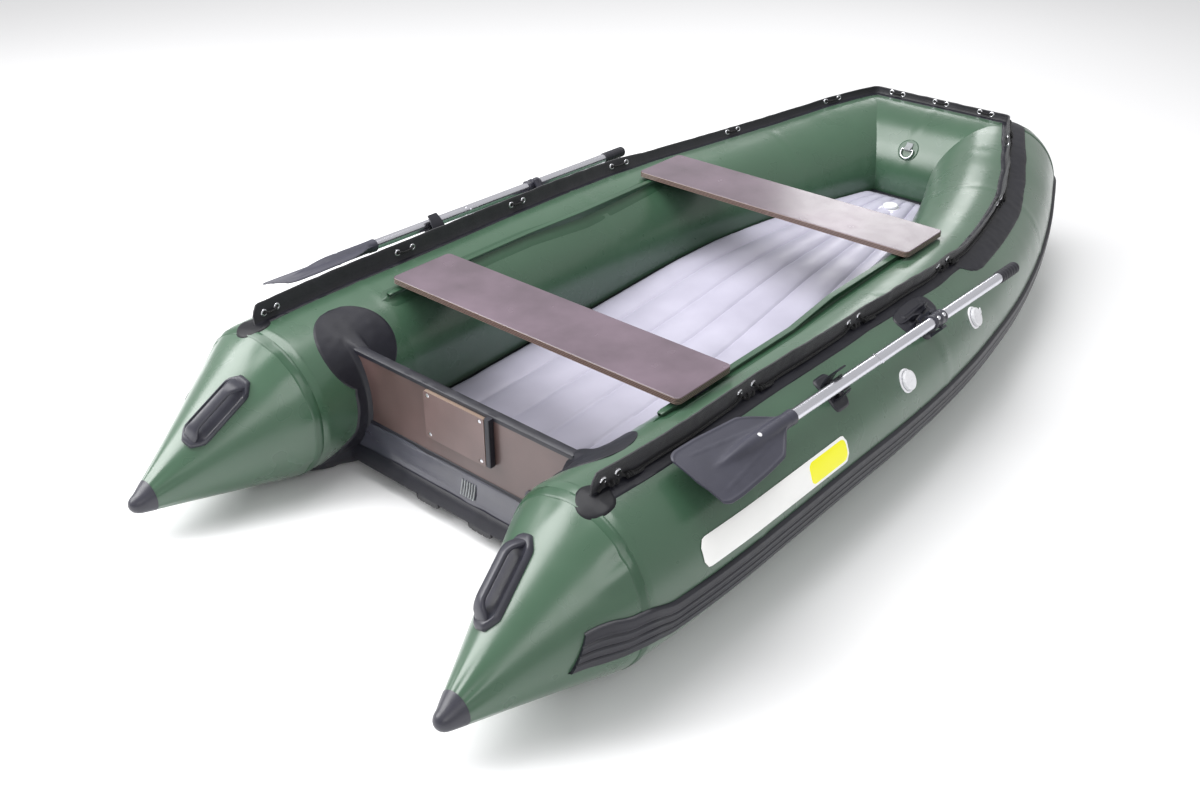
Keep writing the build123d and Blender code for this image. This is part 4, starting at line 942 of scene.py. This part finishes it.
LACE_END = 1271.0
bow_part = [(bow_station(x), BOW_LEAN) for x in np.arange(0, BOW_X - 3, 9.0)]
stations = (bow_part
            + [(corner_station(turn), BOW_LEAN) for turn in (0, 10, 20, 30, 40, 50, 60, CORNER)]
            + [(side_station(y), eased(LEAN, y))
               for y in list(np.arange(BOW_Y + 9, LACE_END, 9.0)) + [LACE_END]])
split = len(bow_part) + 3      # bow and side strips meet at the corner's 30 degree station
flap, base = [], []
for i, (station, lean) in enumerate(stations):
    key, y = lace_key(station), station.centre[1]
    tall = eased(FLAP, y)
    reach = eased(BAND, y)
    # the flap drops over its last stations
    drop = smooth(len(stations) - 0.5, len(stations) - 3.5, i) * 0.55 + 0.45
    top = tall * drop + 1.3 * ripple(key / 50.0, 2.0, 1.0) - 1.4
    # height, half thickness
    section = [(min(height, top - 0.6), half) for height, half in
               ((1.0, 4.2), (6, 2.4), (0.36 * tall, 1.9), (0.55 * tall, 1.9),
                (0.78 * tall, 2.0), (top - 2.5, 2.9), (top - 0.6, 1.8))]
    flap.append([lace_point(station, lean, height, half + flap_wave(station, height))
                 for height, half in section]
                + [lace_point(station, lean, height, flap_wave(station, height) - half)
                   for height, half in reversed(section)])
    # glued base: degrees from the flap, height
    row = []
    for shift, lift in ((4.6, -0.5), (4.2, 1.5), (2.4, 2.1), (0.8, 3.4), (-0.8, 3.8),
                        (-2.4, 2.9), (-0.3 * reach, 2.4), (-0.5 * reach, 2.3),
                        (-0.66 * reach, 2.3), (-0.85 * reach, 2.2), (-reach, 2.0),
                        (-reach - 0.5, -0.5)):
        angle = 90 - lean + shift
        if lift > 0:
            angle += 0.25 * ripple(key / 60.0, shift, 1)
            lift += (0.9 * ripple(key / 33.0, shift / 4.0, 8.0)
                     + 0.7 * ripple(key / 11.0, shift / 3.0, 2.0))
        row.append(on_tube(station, angle, lift))
    base.append(row)


def across_bow(rows):
    """Rows from the centre line outwards, carried on to starboard."""
    return [[point * vec(-1, 1, 1) for point in row] for row in reversed(rows[1:])] + rows


pair("lacing_flap", Shape().solid(flap[split:]).sheet(base[split:], 1), [FOLDED, BLACK],
     "pvc_black", "lacing_strip_{}", angle=55)
shape = Shape().solid(across_bow(flap[:split + 1])).sheet(across_bow(base[:split + 1]), 1)
make("lacing_flap_bow", shape, [FOLDED, BLACK], "pvc_black", "lacing_strip_bow", angle=55)

# eyelets: radius, height above the flap's middle
EYELET = [(4.9, 0.0), (4.9, 2.8), (5.8, 4.1), (7.6, 4.4), (9.8, 3.7), (11.0, 2.4),
          (11.2, 1.2)]
rims, hole_shade_discs = Shape(), Shape()
for station, lean in ([(side_station(y), eased(LEAN, y)) for two in EYELET_PAIRS for y in two]
                      + [(bow_station(x), BOW_LEAN) for x in (25.0, 165.0, 215.0)]):
    outboard = lace_axes(station, lean)[2]
    height = eased(EYE, station.centre[1])
    centre = lace_point(station, lean, height, flap_wave(station, height))
    for sign in (1, -1):
        rims.sleeve(lathe(axes_at(centre, outboard * sign, station.along), EYELET, 28))
        # near-black discs across each hole: painted shade inside the eyelet
        disc = [(radius, sign * 2.45) for radius in (4.7, 2.0, 0.05)]
        hole_shade_discs.sleeve(lathe(axes_at(centre, outboard, station.along), disc, 20), 1)
make("eyelets", rims.both_sides().join(hole_shade_discs.both_sides()), [STEEL, HOLE_SHADE], "steel",
     "lacing_eyelets", angle=60)


# grab line laced through the eyelets, knotted at each pair
def side_lace(y, height, shift):
    station = side_station(y)
    return lace_point(station, eased(LEAN, y), height, shift + flap_wave(station, height))


def bow_lace(x, height, shift):
    return lace_point(bow_station(x), BOW_LEAN, height, shift)


def coil(point_at, start, run, turn, height, swing_up, shift, swing_out, count):
    """Winding path: turn is its whole angle in radians."""
    return [point_at(start + run * t, height + swing_up * cos(turn * t),
                     shift + swing_out * sin(turn * t)) for t in steps(count)]


cord = Shape()
path = [side_lace(EYELET_PAIRS[0][0] + 22, 9, 9.5)]
for i, (aft, fore) in enumerate(EYELET_PAIRS):
    if i:       # slack run from the pair before
        before = EYELET_PAIRS[i - 1][1]
        for t in (0.07, 0.16, 0.27, 0.4, 0.55, 0.7, 0.83, 0.92):
            y = before - (before - aft) * t
            low = (8.0 + 3.2 * ripple(y / 60.0, 2, 2) + 7.0 * (1 - smooth(0.0, 0.10, t))
                   + 7.0 * (1 - smooth(0.0, 0.09, 1 - t)))
            path.append(side_lace(y, max(6.5, low),
                                  8.4 + 2.0 * sin(pi * t) + 1.0 * ripple(y / 40.0, 4, 4)))
    eye = eased(EYE, aft)
    # in through one eyelet and out through the other: y, height, shift outboard
    path += [side_lace(*point) for point in (
        (aft + 12, 0.62 * eye, 8.4), (aft + 5, eye - 2, 7.2), (aft, eye, 1.0),
        (aft - 6, eye, -7.2), ((aft + fore) / 2, eye - 3, -8.2), (fore + 6, eye, -7.2),
        (fore, eye, 1.0), (fore - 5, eye - 2, 7.2), (fore - 13, 0.6 * eye, 8.6))]
    # low turns between the eyelets, a small knot beside them and its tail
    pipe(cord, coil(side_lace, start=fore + 8, run=aft - fore - 16, turn=2 * pi * 2.1,
                    height=11, swing_up=3.6, shift=10.2, swing_out=4.4, count=29), 3.5, 9)
    pipe(cord, coil(side_lace, start=fore - 18, run=-19, turn=2 * pi * 2.6,
                    height=12, swing_up=5.0, shift=12.0, swing_out=5.0, count=33), 3.4, 9)
    tail = [side_lace(*point) for point in ((fore - 34, 12, 16), (fore - 46, 9, 17),
                                            (fore - 60, 7.5, 16), (fore - 74, 6.5, 13 + i % 3))]
    pipe(cord, spline(tail, 6), 3.4, 9)
path += [side_lace(y, 10, 9) for y in (-1410, -1450, -1485)]
path += [lace_point(corner_station(turn), BOW_LEAN, 10, 10) for turn in (60, 34, 8)]
# along the bow: x, height, shift outboard
BOW_CORD = ((240, 11, 9), (222, 16, 7.6), (215, 17, 1), (208, 17, -7.2), (190, 16, -8.2),
            (172, 17, -7.2), (165, 17, 1), (158, 16, 7.6), (135, 9, 8.6), (95, 8, 9.4),
            (55, 9, 8.6), (32, 16, 7.6), (25, 17, 1), (16, 17, -7.2), (0, 16, -8.2))
path += [bow_lace(*point) for point in BOW_CORD]
pipe(cord, spline(path, 5), 3.8, 10)
pipe(cord, coil(bow_lace, start=168.0, run=36, turn=15, height=11, swing_up=4, shift=10.5,
                swing_out=4.4, count=33), 3.5, 9)
make("grab_cord", cord.both_sides(), [CORD], "cord_black", "grab_line", angle=80)


# round patch over the strip's stern end
def end_patch_height(q, around, along):
    return (2.6 * smooth(1.0, 0.90, q) + 0.5 * ripple(around / 22.0, along / 22.0, 2.0)
            + 2.2 * hump(around, -2.0, 9.0) * smooth(16, -24, along))


shape = Shape()
patch(shape, side_station, 1268.0, 82.0, lambda turn: 48.0 + 1.5 * cos(2 * turn),
      end_patch_height, rings=12, sides=64)
pair("strip_end_patch", shape, [BLACK_GLOSS], "pvc_black", "strip_end_patches", angle=60)

# -------------------------------------------------------------- rub strake
STRAKE_HALF = 11.8                       # half width, degrees
GROOVES = (0.28, 0.5, 0.72)              # across the width, 0 to 1
LIPS = (0.235, 0.325, 0.455, 0.545, 0.675, 0.765)


def strake_row(station_at, middle, half=STRAKE_HALF):
    """Section of the strake; station_at(t) is the station under a part t of its width."""
    row = [on_tube(station_at(0), middle - half, -0.6)]
    for t in steps(48):
        lift = (1.6 + 8.2 * smooth(1.0, 0.90, abs(2 * t - 1))
                + 1.08 * sum(hump(t, lip, 0.022) for lip in LIPS)
                - 3.6 * sum(hump(t, groove, 0.020) for groove in GROOVES))
        row.append(on_tube(station_at(t), middle - half + 2 * half * t, lift))
    return row + [on_tube(station_at(1), middle + half, -0.6)]


def cone_half(y):
    return STRAKE_HALF * min(TUBE_R / side_station(y).radius, 1.25)


rows = [strake_row(lambda t: station, STRAKE_MID[0][1])
        for station in [bow_station(x) for x in np.arange(0, BOW_X - 1, 12.0)]
        + [corner_station(turn) for turn in np.linspace(0, CORNER, 26)]]
for y in np.arange(BOW_Y + 12, 1200, 12.0):
    station = side_station(y)
    rows.append(strake_row(lambda t: station, eased(STRAKE_MID, y)))
for y in np.arange(1200, 1457, 8.0):     # the sections skew towards the slanted stern end
    skew = smooth(1200, 1450, y)
    rows.append(strake_row(lambda t: side_station(y + skew * (22 - 44 * t)),
                           eased(STRAKE_MID, y), cone_half(y)))
inner = [on_tube(side_station(1452 + 22 - 44 * t),
                 eased(STRAKE_MID, 1456) + cone_half(1452) * (2 * t - 1), -1.0)
         for t in steps(50)]
shape = Shape().sheet(rows).sheet([rows[-1], inner])
make("rub_strake_ribbed", shape.both_sides(), [RUBBER], "pvc_black", "rub_strake", angle=60)


# ------------------------------------------------------------ blank panels
def panel(shape, start, end, half, lift, slot, corner=20.0):
    """Panel with rounded corners on the tube; half is half its width in degrees."""
    rows = []
    for t in steps(60):
        y = start + (end - start) * t
        gap = min(t, 1 - t) * abs(end - start)
        inset = corner - sqrt(max(0.0, corner**2 - (corner - gap) ** 2)) if gap < corner else 0.0
        middle = 21 - 2 * (1095 - y) / (1095 - 512.0)
        low = radians(middle - half) * TUBE_R + inset
        high = radians(middle + half) * TUBE_R - inset
        rows.append([on_tube(side_station(y), degrees((low + (high - low) * u) / TUBE_R),
                             lift if 0 < u < 1 and 0 < t < 1 else lift - 1.0)
                     for u in steps(12)])
    shape.sheet(rows, slot)


shape = Shape()
panel(shape, start=1112, end=512, half=9.3, lift=2.9, slot=0)
panel(shape, start=690, end=519, half=7.7, lift=3.6, slot=1)
pair("side_label", shape, [LABEL, YELLOW], "panel_white", "side_panels", angle=60)

# ---------------------------------------------------------------- oarlocks
LOCK = vec(749.028, -20, 416.294)             # foot of the oarlock on the tube
LOCK_UP = vec(0.633381, 0, 0.77384)
LOCK_OUT = vec(0.77384, 0, -0.633381)
PIVOT = vec(782.597, -20, 457.307)            # where the oar turns
OAR_Y = unit(vec(-0.012, 1, 0.024))           # along the oar, towards the blade
OAR_X = square_to(LOCK_OUT, OAR_Y)
OAR_Z = np.cross(OAR_X, OAR_Y)
OAR_TURN = (PIVOT, OAR_X, OAR_Z, OAR_Y)       # lathe axes: height runs along the oar


# rubber mount: a shaped patch with a boss and two fins
def mount_height(q, around, along):
    return (3.0 * smooth(1.0, 0.93, q)
            + 5.0 * hump(around, 8.0, 5.0) * smooth(96, 40, abs(along))
            + 3.4 * hump(around, -18.0, 5.0) * smooth(96, 40, abs(along))
            + 2.6 * hump(abs(along), 58, 4.5) * smooth(44, 26, abs(around))
            + 0.6 * ripple(around / 20.0, along / 20.0, 0))


shape = Shape()
patch(shape, side_station, -36, 62.5, lambda turn: oblong(turn, 46.0, 102.0, 3),
      mount_height, rings=26, sides=96)
shape.sleeve(lathe((LOCK, LOCK_OUT, np.cross(LOCK_UP, LOCK_OUT), LOCK_UP),
                   [(6.15, -10), (6.15, 13.4), (8, 14.0), (19, 14.0), (23, 12.2), (27, 6),
                    (31, 2), (34, 0)]))
for sign in (-1, 1):        # folded fins towards the bow and the stern
    rows = []
    for t in steps(24):
        tall = 22.0 * (1 - t) ** 1.2 + 4.0
        station = side_station(-30 + sign * (22 + 66 * t))
        rows.append([on_tube(station, 60.0 + 4.0 * t
                             + degrees((half + 4.5 * sin(t * 5) * z / 20.0) / TUBE_R), z)
                     for half, z in ((3.4, 0), (2.4, tall * 0.6), (1.9, tall), (-1.9, tall),
                                     (-2.4, tall * 0.6), (-3.4, 0))])
    shape.solid(rows)
pair("oarlock_mount", shape, [RUBBER], "plastic_black", "oarlock_bases", angle=50)
dress(PLASTIC, "oarlock_fork_port", "oarlock_fork_starboard", bevel=1.6)

# -------------------------------------------------------------------- oars
# Turned profiles along the oar: radius, distance from the pivot
HANDLE_TUBE = [(15.2, -488), (16.4, -489), (16.5, -486), (16.5, 328), (16.0, 333),
               (15.6, 335)]
BLADE_TUBE = [(15.6, 335.5), (16.1, 336.5), (16.5, 339), (16.5, 352), (16.5, 740),
              (16.4, 880), (15.0, 889)]
GRIP_LINE = ([(0.1, -505), (8, -504.8), (14, -503.2), (17.4, -500), (18.8, -495)]
             + [(18.9, along) for along in np.arange(-490, -394, 2.5)]
             + [(18.8, -392), (18.0, -389), (16.6, -388)])
COLLAR = [(16.6, -30), (20.6, -30), (22.2, -28.5), (22.4, -24), (21.2, -22), (21.2, -8),
          (22.6, -6), (22.6, 6), (21.2, 8), (21.2, 22), (22.4, 24), (22.2, 28.5), (20.6, 30),
          (16.6, 30)]

pair("oar_handle_tube", Shape().sleeve(lathe(OAR_TURN, HANDLE_TUBE, 40)), [ALUMINIUM],
     "aluminium_tube", "oar_loom_handle_{}", body="{}_oar")
shape = Shape().sleeve(lathe(OAR_TURN, BLADE_TUBE, 40))
for angle in (0.4, 0.4 + pi):        # buttons by the joint
    outward = OAR_X * cos(angle) + OAR_Z * sin(angle)
    shape.sleeve(lathe(axes_at(PIVOT + OAR_Y * 318 + outward * 15.8, outward, OAR_Y),
                       [(4.2, -1), (4.2, 1.6), (3.2, 2.6), (0.1, 3.0)], 18))
pair("oar_blade_tube", shape, [ALUMINIUM], "aluminium_tube", "oar_loom_blade_{}",
     body="{}_oar")


def grip_swell(angle, i):
    """Finger swells with fine flutes."""
    along = GRIP_LINE[i][1]
    return (smooth(-500, -488, along) * smooth(-392, -402, along)
            * (0.9 * sin((along + 500) / 17.0 * 2 * pi) * (0.6 + 0.4 * cos(angle))
               - 0.5 * (abs(sin(angle * 8)) ** 8)))


pair("oar_grip", Shape().sleeve(lathe(OAR_TURN, GRIP_LINE, 64, grip_swell)), [GRIP],
     "plastic_black", "oar_grip_{}", body="{}_oar", angle=60)

# collar with trunnions and two screws
shape = Shape().sleeve(lathe(OAR_TURN, COLLAR, 64))
for sign in (1, -1):
    shape.sleeve(lathe(axes_at(PIVOT, OAR_X * sign, OAR_Y),
                       [(9.5, 18), (9.5, 22.8), (7.5, 23.6), (5.98, 24.0), (5.98, 31.2),
                        (5.2, 32), (0.1, 32)], 28))
for along in (-15, 15):
    shape.sleeve(lathe(axes_at(PIVOT + OAR_Y * along + OAR_Z * 19, OAR_Z, OAR_X),
                       [(6.2, 0), (6.2, 4.2), (5.2, 5.2), (2.0, 5.2), (1.8, 4.2), (0.1, 4.2)],
                       24), 1)
pair("oar_clamp_collar", shape, [PLASTIC, STEEL], "plastic_black", "oar_collar_{}",
     body="{}_oar", angle=45)

# blade: dished plate with a hollow spine and stiffening ribs
BLADE_LEAN = radians(20)        # blade's normal from upright, towards port
tilt = acos(float(np.dot(OAR_Z, vec(sin(BLADE_LEAN), 0, cos(BLADE_LEAN)))))
BLADE_X = OAR_X * cos(tilt) + OAR_Z * sin(tilt)
BLADE_Z = OAR_Z * cos(tilt) - OAR_X * sin(tilt)
BLADE_AXES = (PIVOT, BLADE_X, OAR_Y, BLADE_Z)
# Edges of the blade: along, across
INNER_EDGE = [(735, -20), (768, -22), (825, -60), (862, -80), (1010, -92), (1070, -93),
              (1097, -86), (1112, -66)]
OUTER_EDGE = [(735, 20), (780, 21), (822, 52), (854, 75), (930, 84), (1040, 91), (1076, 90),
              (1096, 78), (1106, 40)]
SPINE_R = 19.5


def blade_edge(table, along):
    return sum(weight * straight(table, along + shift)
               for shift, weight in ((-7, 1), (0, 2), (7, 1))) / 4.0


rings = []
for along in list(np.arange(735, 1085, 6.0)) + [1088, 1093, 1098, 1102, 1105.5, 1108, 1110,
                                                1111.5]:
    low, high = blade_edge(INNER_EDGE, along), blade_edge(OUTER_EDGE, along)
    if along > 1075:        # rounded tip
        pull = 1 - sqrt(max(0.0, 1 - ((along - 1075) / 37.0) ** 2))
        low, high = -93 + 25 * pull, 90 - 34 * pull
        if along > 1104:
            high = min(high, 48 - (along - 1104) * 5)
    spine_r = SPINE_R * smooth(1075, 900, along) ** 0.8
    rib = 22 + (along - 830) * 0.16
    upper, lower = [], []
    for t in steps(48):
        across = low + (high - low) * (0.5 - 0.5 * cos(pi * t))
        inset = min(across - low, high - across)
        edge = smooth(0, 5.0, inset)
        rim = 1.5 * hump(inset, 6.0, 3.0) * smooth(760, 800, along)
        spine = sqrt(max(0.0, spine_r**2 - across * across))
        fillet = 4.0 * exp(-max(0.0, abs(across) - spine_r) / 7.0) * (spine_r / SPINE_R)
        ribs = (1.5 * (hump(across, rib, 2.6) + hump(across, -rib, 2.6))
                * smooth(832, 860, along) * smooth(1078, 1050, along))
        camber = -5.0 * (across / 92.0) ** 2 * smooth(760, 900, along)
        half = 1.0 + 1.1 * edge
        upper.append([across, along, camber + max(spine, half + rim + ribs + fillet * edge)])
        lower.append([across, along,
                      camber - max(spine * 0.92, half + rim * 0.4 + fillet * edge * 0.8)])
    rings.append(upper + lower[::-1])
shape = Shape().solid(place(BLADE_AXES, rings))
shape.sleeve(lathe(OAR_TURN, [(16.7, 728), (19.0, 728), (20.4, 730), (20.6, 736), (20.0, 744),
                              (19.8, 756)]))
pair("oar_blade", shape, [BLADE], "plastic_black", "oar_blade_{}", body="{}_oar", angle=50)
shape = Shape()
for z, profile in ((18.6, [(5.8, -1), (5.8, 1.2), (4.6, 2.6), (2.2, 3.2), (0.1, 3.3)]),
                   (-17.6, [(5.4, 1), (5.4, -1.4), (3.6, -2.4), (0.1, -2.6)])):
    centre = place(BLADE_AXES, (0, 876, z))
    shape.sleeve(lathe((centre,) + BLADE_AXES[1:], profile, 24))
pair("oar_blade_rivet", shape, [WHITE], "plastic_white", "oar_rivet_{}", body="{}_oar")

# oar rest: glued pad, saddle, and uprights on both sides of it
REST_Y = 470.0
station = side_station(REST_Y)
loom = PIVOT + OAR_Y * ((REST_Y - PIVOT[1]) / OAR_Y[1])     # oar's axis over the rest
rest_up = unit(vec(loom[0] - station.centre[0], 0, loom[2] - station.centre[2]))
rest_angle = degrees(atan2(np.dot(rest_up, station.up), np.dot(rest_up, station.out)))
rest_out = vec(rest_up[2], 0, -rest_up[0])
rest_axes = (station.centre + rest_up * TUBE_R, rest_out, np.cross(rest_up, rest_out), rest_up)
loom_z = float(np.dot(loom - rest_axes[0], rest_up))


def rest_height(q, around, along):
    return (3.0 * smooth(1, 0.9, q) + 1.6 * hump(q, 0.86, 0.05)
            + 12 * exp(-(hypot(around, along * 1.1) / 18.0) ** 4))


shape = Shape()
patch(shape, side_station, REST_Y, rest_angle, lambda turn: oblong(turn, 54.0, 36.0, 5),
      rest_height, rings=18, sides=72)
rows = []
for t in steps(30):      # saddle curving under the loom
    angle = radians(-168 + 143 * t)
    rows.append([[radius * cos(angle), y, loom_z + radius * sin(angle)]
                 for radius, y in ((17.6, -17), (17.6, 17), (21.6, 19), (21.6, -19))])
shape.solid(place(rest_axes, rows))
# tall inboard and short outboard upright: steps, top, foot, bulge, lean, half width, taper
for count, top, foot, bulge, lean, half, taper in (
        (16, loom_z + 24, -26.5, -5.5, -3, 27, 9), (12, loom_z - 6, 23.5, 3.0, 0, 20, 8)):
    rows = []
    for t in steps(count):
        x, z = foot + bulge * sin(t * pi) + lean * t, 4 + (top - 4) * t
        width = half - taper * t**1.5
        rows.append([[x - 2.2, -width, z], [x - 2.2, width, z], [x + 2.2, width, z],
                     [x + 2.2, -width, z]])
    shape.solid(place(rest_axes, rows))
pair("oar_rest", shape, [RUBBER], "plastic_black", "oar_rests", angle=45)

# ------------------------------------------------------------------ valves
# Name, centre, direction it faces, y of the station that gives its heading
VALVES = (("a", (810.813, 173.183, 354.189), (0.865526, -0.029509, 0.499995), 180.0),
          ("b", (778.958, -299.031, 354.241), (0.850849, -0.104029, 0.515009), -275.0))
# Turned profiles: radius, height
SEAT = [(34.5, -3.0), (34.0, 1.0), (32.5, 2.6), (30.5, 3.2), (29.6, 3.0), (28.8, 2.0),
        (22, 2.0), (20, 2.4), (20, 8), (19.0, 10.6), (15, 11), (14, 10), (14, 0)]
VALVE_CAP = [(20.3, 4.7), (28.0, 4.7), (28.9, 5.8), (28.9, 11.0), (27.8, 13.0), (25.2, 14.2),
             (21.5, 14.3), (19.8, 13.4), (10.0, 13.0), (6.0, 13.4), (0.1, 13.6)]
FLOOR_FLANGE = [(46, -6.5), (45, -3.2), (42, -2.4), (34, -2.0), (33, 0)]


def valve_cap(axes):
    """Cap with a fluted rim and a bar across the middle."""
    def flutes(angle, i):
        return -0.9 * (0.5 + 0.5 * cos(angle * 16)) if i in (2, 3) else 0.0

    rows = []
    for t in steps(20):
        x = -19 + 38 * t
        half = 3.4 + 1.2 * abs(2 * t - 1)
        rows.append([[x, -half, 12.6], [x, -half * 0.8, 14.4], [x, half * 0.8, 14.4],
                     [x, half, 12.6]])
    return Shape().sleeve(lathe(axes, VALVE_CAP, 96, flutes)).solid(place(axes, rows))


seats = Shape()
for name, centre, facing, y in VALVES:
    axes = axes_at(centre, facing, side_station(y).along)
    seats.sleeve(lathe(axes, SEAT, 64))
    shape = valve_cap(axes)
    if name == "b":        # looped strap
        strap = [place(axes, point) for point in
                 ((-25, 8, 11), (-30, 12, 12), (-38, 14, 10), (-43, 8, 8), (-43, -1, 7),
                  (-37, -4, 7), (-32, 1, 9), (-34, 8, 11))]
        pipe(shape, spline(strap, 5), 1.7, 8)
    pair("valve_top_" + name, shape, [WHITE], "plastic_white", "valve_cap_{}_" + name,
         body="{}_valve_cap_" + name, angle=50)
seats = seats.both_sides()
axes = axes_at((-35, -1150, 243.9), (0, 0, 1), (1, 0, 0))
seats.sleeve(lathe(axes, SEAT, 64))
seats.sleeve(lathe(axes, FLOOR_FLANGE, 64, lambda angle, i: 0.6 * sin(angle * 5) * (i < 3)))
make("valve_seats", seats, [WHITE], "plastic_white", "valve_bodies", angle=50)
make("floor_valve_top", valve_cap(axes), [WHITE], "plastic_white", "valve_cap_floor",
     body="floor_valve_cap", angle=50)


# ------------------------------------------------------------ stern handles
def cone_station(t):
    return side_station(SEAM_Y + (TIP_Y - SEAM_Y) * t)


HANDLE_ANGLE = 112.0
fore, aft = (on_tube(cone_station(t), HANDLE_ANGLE) for t in (0.245, 0.70))
handle_y = unit(aft - fore)
station = cone_station(0.17)
handle_z = square_to(station.out * cos(radians(HANDLE_ANGLE))
                     + station.up * sin(radians(HANDLE_ANGLE)), handle_y)
handle_axes = ((fore + aft) * 0.5, np.cross(handle_y, handle_z), handle_y, handle_z)
# base plate with a raised rim round a recess
BASE_RINGS = 16
rows = []
for i in range(BASE_RINGS + 2):
    q = min(i, BASE_RINGS) / BASE_RINGS
    row = []
    for turn in turns(96):
        reach = oblong(turn, 42.0, 118.0, 7)
        x, y = reach * cos(turn) * q, reach * sin(turn) * q
        x *= 1.0 - 0.42 * smooth(80, 116, abs(y))
        z = (11.5 + 2.6 * hump(q, 0.88, 0.07)
             - 7.0 * smooth(0.84, 0.72, q) * smooth(80, 60, abs(y)))
        if i == BASE_RINGS:
            z = 5.0
        elif i > BASE_RINGS:
            x, y, z = x * 1.01, y * 1.005, -9.0
        row.append([x, y, z - x * x / 520.0 * 1.6])
    rows.append(row)
shape = Shape().sleeve(place(handle_axes, rows))
# moulded grip bridging the recess
bridge = rounded([(0, -96, 5), (0, -70, 37), (0, 70, 37), (0, 96, 5)], 26, 7)
rows = []
for i, point in enumerate(bridge):
    heading = unit(bridge[min(i + 1, len(bridge) - 1)] - bridge[max(i - 1, 0)])
    upward = np.cross(vec(1, 0, 0), heading)
    outer = abs(point[1]) / 92.0
    half = 14.5 + 8.5 * smooth(0.60, 1.0, outer)
    thick = 7.0 + 1.4 * smooth(0.7, 1.0, outer)
    rows.append([point + vec(1, 0, 0) * half * copysign(abs(cos(turn)) ** 0.65, cos(turn))
                 - upward * thick * copysign(abs(sin(turn)) ** 0.65, sin(turn))
                 for turn in turns(20)])
shape.solid(place(handle_axes, rows))
pair("lift_handle", shape, [PLASTIC], "plastic_black", "stern_handles", angle=50)

# ---------------------------------------------------------------- bow ring
# The patch sits high on the inboard side of the bow tube, 30 degrees above level.
ring_up = vec(0, cos(radians(30)), sin(radians(30)))
ring_axes = axes_at(vec(0, BOW_Y, BOW_Z) + ring_up * TUBE_R, ring_up, (-1, 0, 0))


def ring_patch_height(q, around, along):
    return (2.4 * smooth(1.0, 0.94, q) + 0.5 * ripple(around / 12.0, along / 12.0, 0)
            + 1.0 * hump(q, 0.9, 0.03))


shape = Shape()
patch(shape, bow_station, 0, 150.0, lambda turn: 42.0, ring_patch_height, rings=14, sides=72)
# webbing loop over the ring's bar: y, z
LOOP = [(22, 3.0), (14, 4.6), (6.5, 9.5), (4.6, 13.2), (0, 14.4), (-4.6, 13.2), (-5.6, 8.5),
        (-3.0, 4.5), (8, 3.6), (27, 3.2)]
rows = [[[-13, y, z], [-13, y + 0.1, z + 1.3], [13, y + 0.1, z + 1.3], [13, y, z]]
        for y, z in rounded(LOOP, 4, 3)]
shape.solid(place(ring_axes, rows), 1)
make("ring_patch", shape, [GREEN_LAP, WEBBING], "pvc_grey", "bow_ring_patch", angle=50)
dress(STEEL, "bow_ring")

# ----------------------------------------- camera, light and floor, in metres
scene = bpy.context.scene
camera_data = bpy.data.cameras.new("camera")
camera_data.sensor_fit = "HORIZONTAL"
camera_data.sensor_width = 36.0
camera_data.lens = 36.80871
camera_data.clip_end = 100
camera = bpy.data.objects.new("camera", camera_data)
scene.collection.objects.link(camera)
view_right = Vector((-0.75830158, -0.65189589, 0.00323573))
view_up = Vector((0.33982427, -0.39104655, 0.8553374))
view_ahead = Vector((0.55632561, -0.64970328, -0.51806126))
turned = Matrix((view_right, view_up, -view_ahead)).transposed().to_4x4()
turned.translation = Vector((-2.06608, 2.93527, 2.05358))
camera.matrix_world = turned
scene.camera = camera


def area(name, location, target, size, power):
    lamp = bpy.data.lights.new(name, "AREA")
    lamp.shape, lamp.energy = "RECTANGLE", power
    lamp.size, lamp.size_y = size
    light = bpy.data.objects.new(name, lamp)
    light.location = location
    aim = Vector(target) - Vector(location)
    light.rotation_euler = aim.to_track_quat("-Z", "Y").to_euler()
    scene.collection.objects.link(light)


area("key_top", location=(0.9, 0.6, 4.2), target=(0, 0, 0.2), size=(3.0, 4.2), power=190)
area("left_box", location=(3.3, 3.5, 3.1), target=(0, 0.9, 0.3), size=(3.0, 3.0), power=215)
area("bow_box", location=(2.0, -4.9, 2.5), target=(-0.3, -0.4, 0.48), size=(1.2, 0.9),
     power=15)
area("fill_camera", location=(-3.5, 3.8, 3.2), target=(0, 0, 0.2), size=(2.5, 2.0), power=40)

world = bpy.data.worlds.new("studio")
scene.world = world
world.use_nodes = True
set_inputs(world.node_tree.nodes["Background"], Color=(1.0, 1.0, 1.0, 1.0), Strength=0.62)

floor_mesh = bpy.data.meshes.new("studio_floor")
floor_mesh.from_pydata([(x, y, -0.001) for x, y in ((-40, -40), (40, -40), (40, 40), (-40, 40))],
                       [], [(0, 1, 2, 3)])
studio_floor = bpy.data.objects.new("studio_floor", floor_mesh)
scene.collection.objects.link(studio_floor)
floor_material = bpy.data.materials.new("studio_floor")
floor_material.use_nodes = True
set_inputs(floor_material.node_tree.nodes["Principled BSDF"],
           Base_Color=(0.93, 0.93, 0.94, 1), Roughness=0.75, Specular_IOR_Level=0.15)
floor_mesh.materials.append(floor_material)

scene.view_settings.view_transform = "Standard"
scene.view_settings.look = "None"
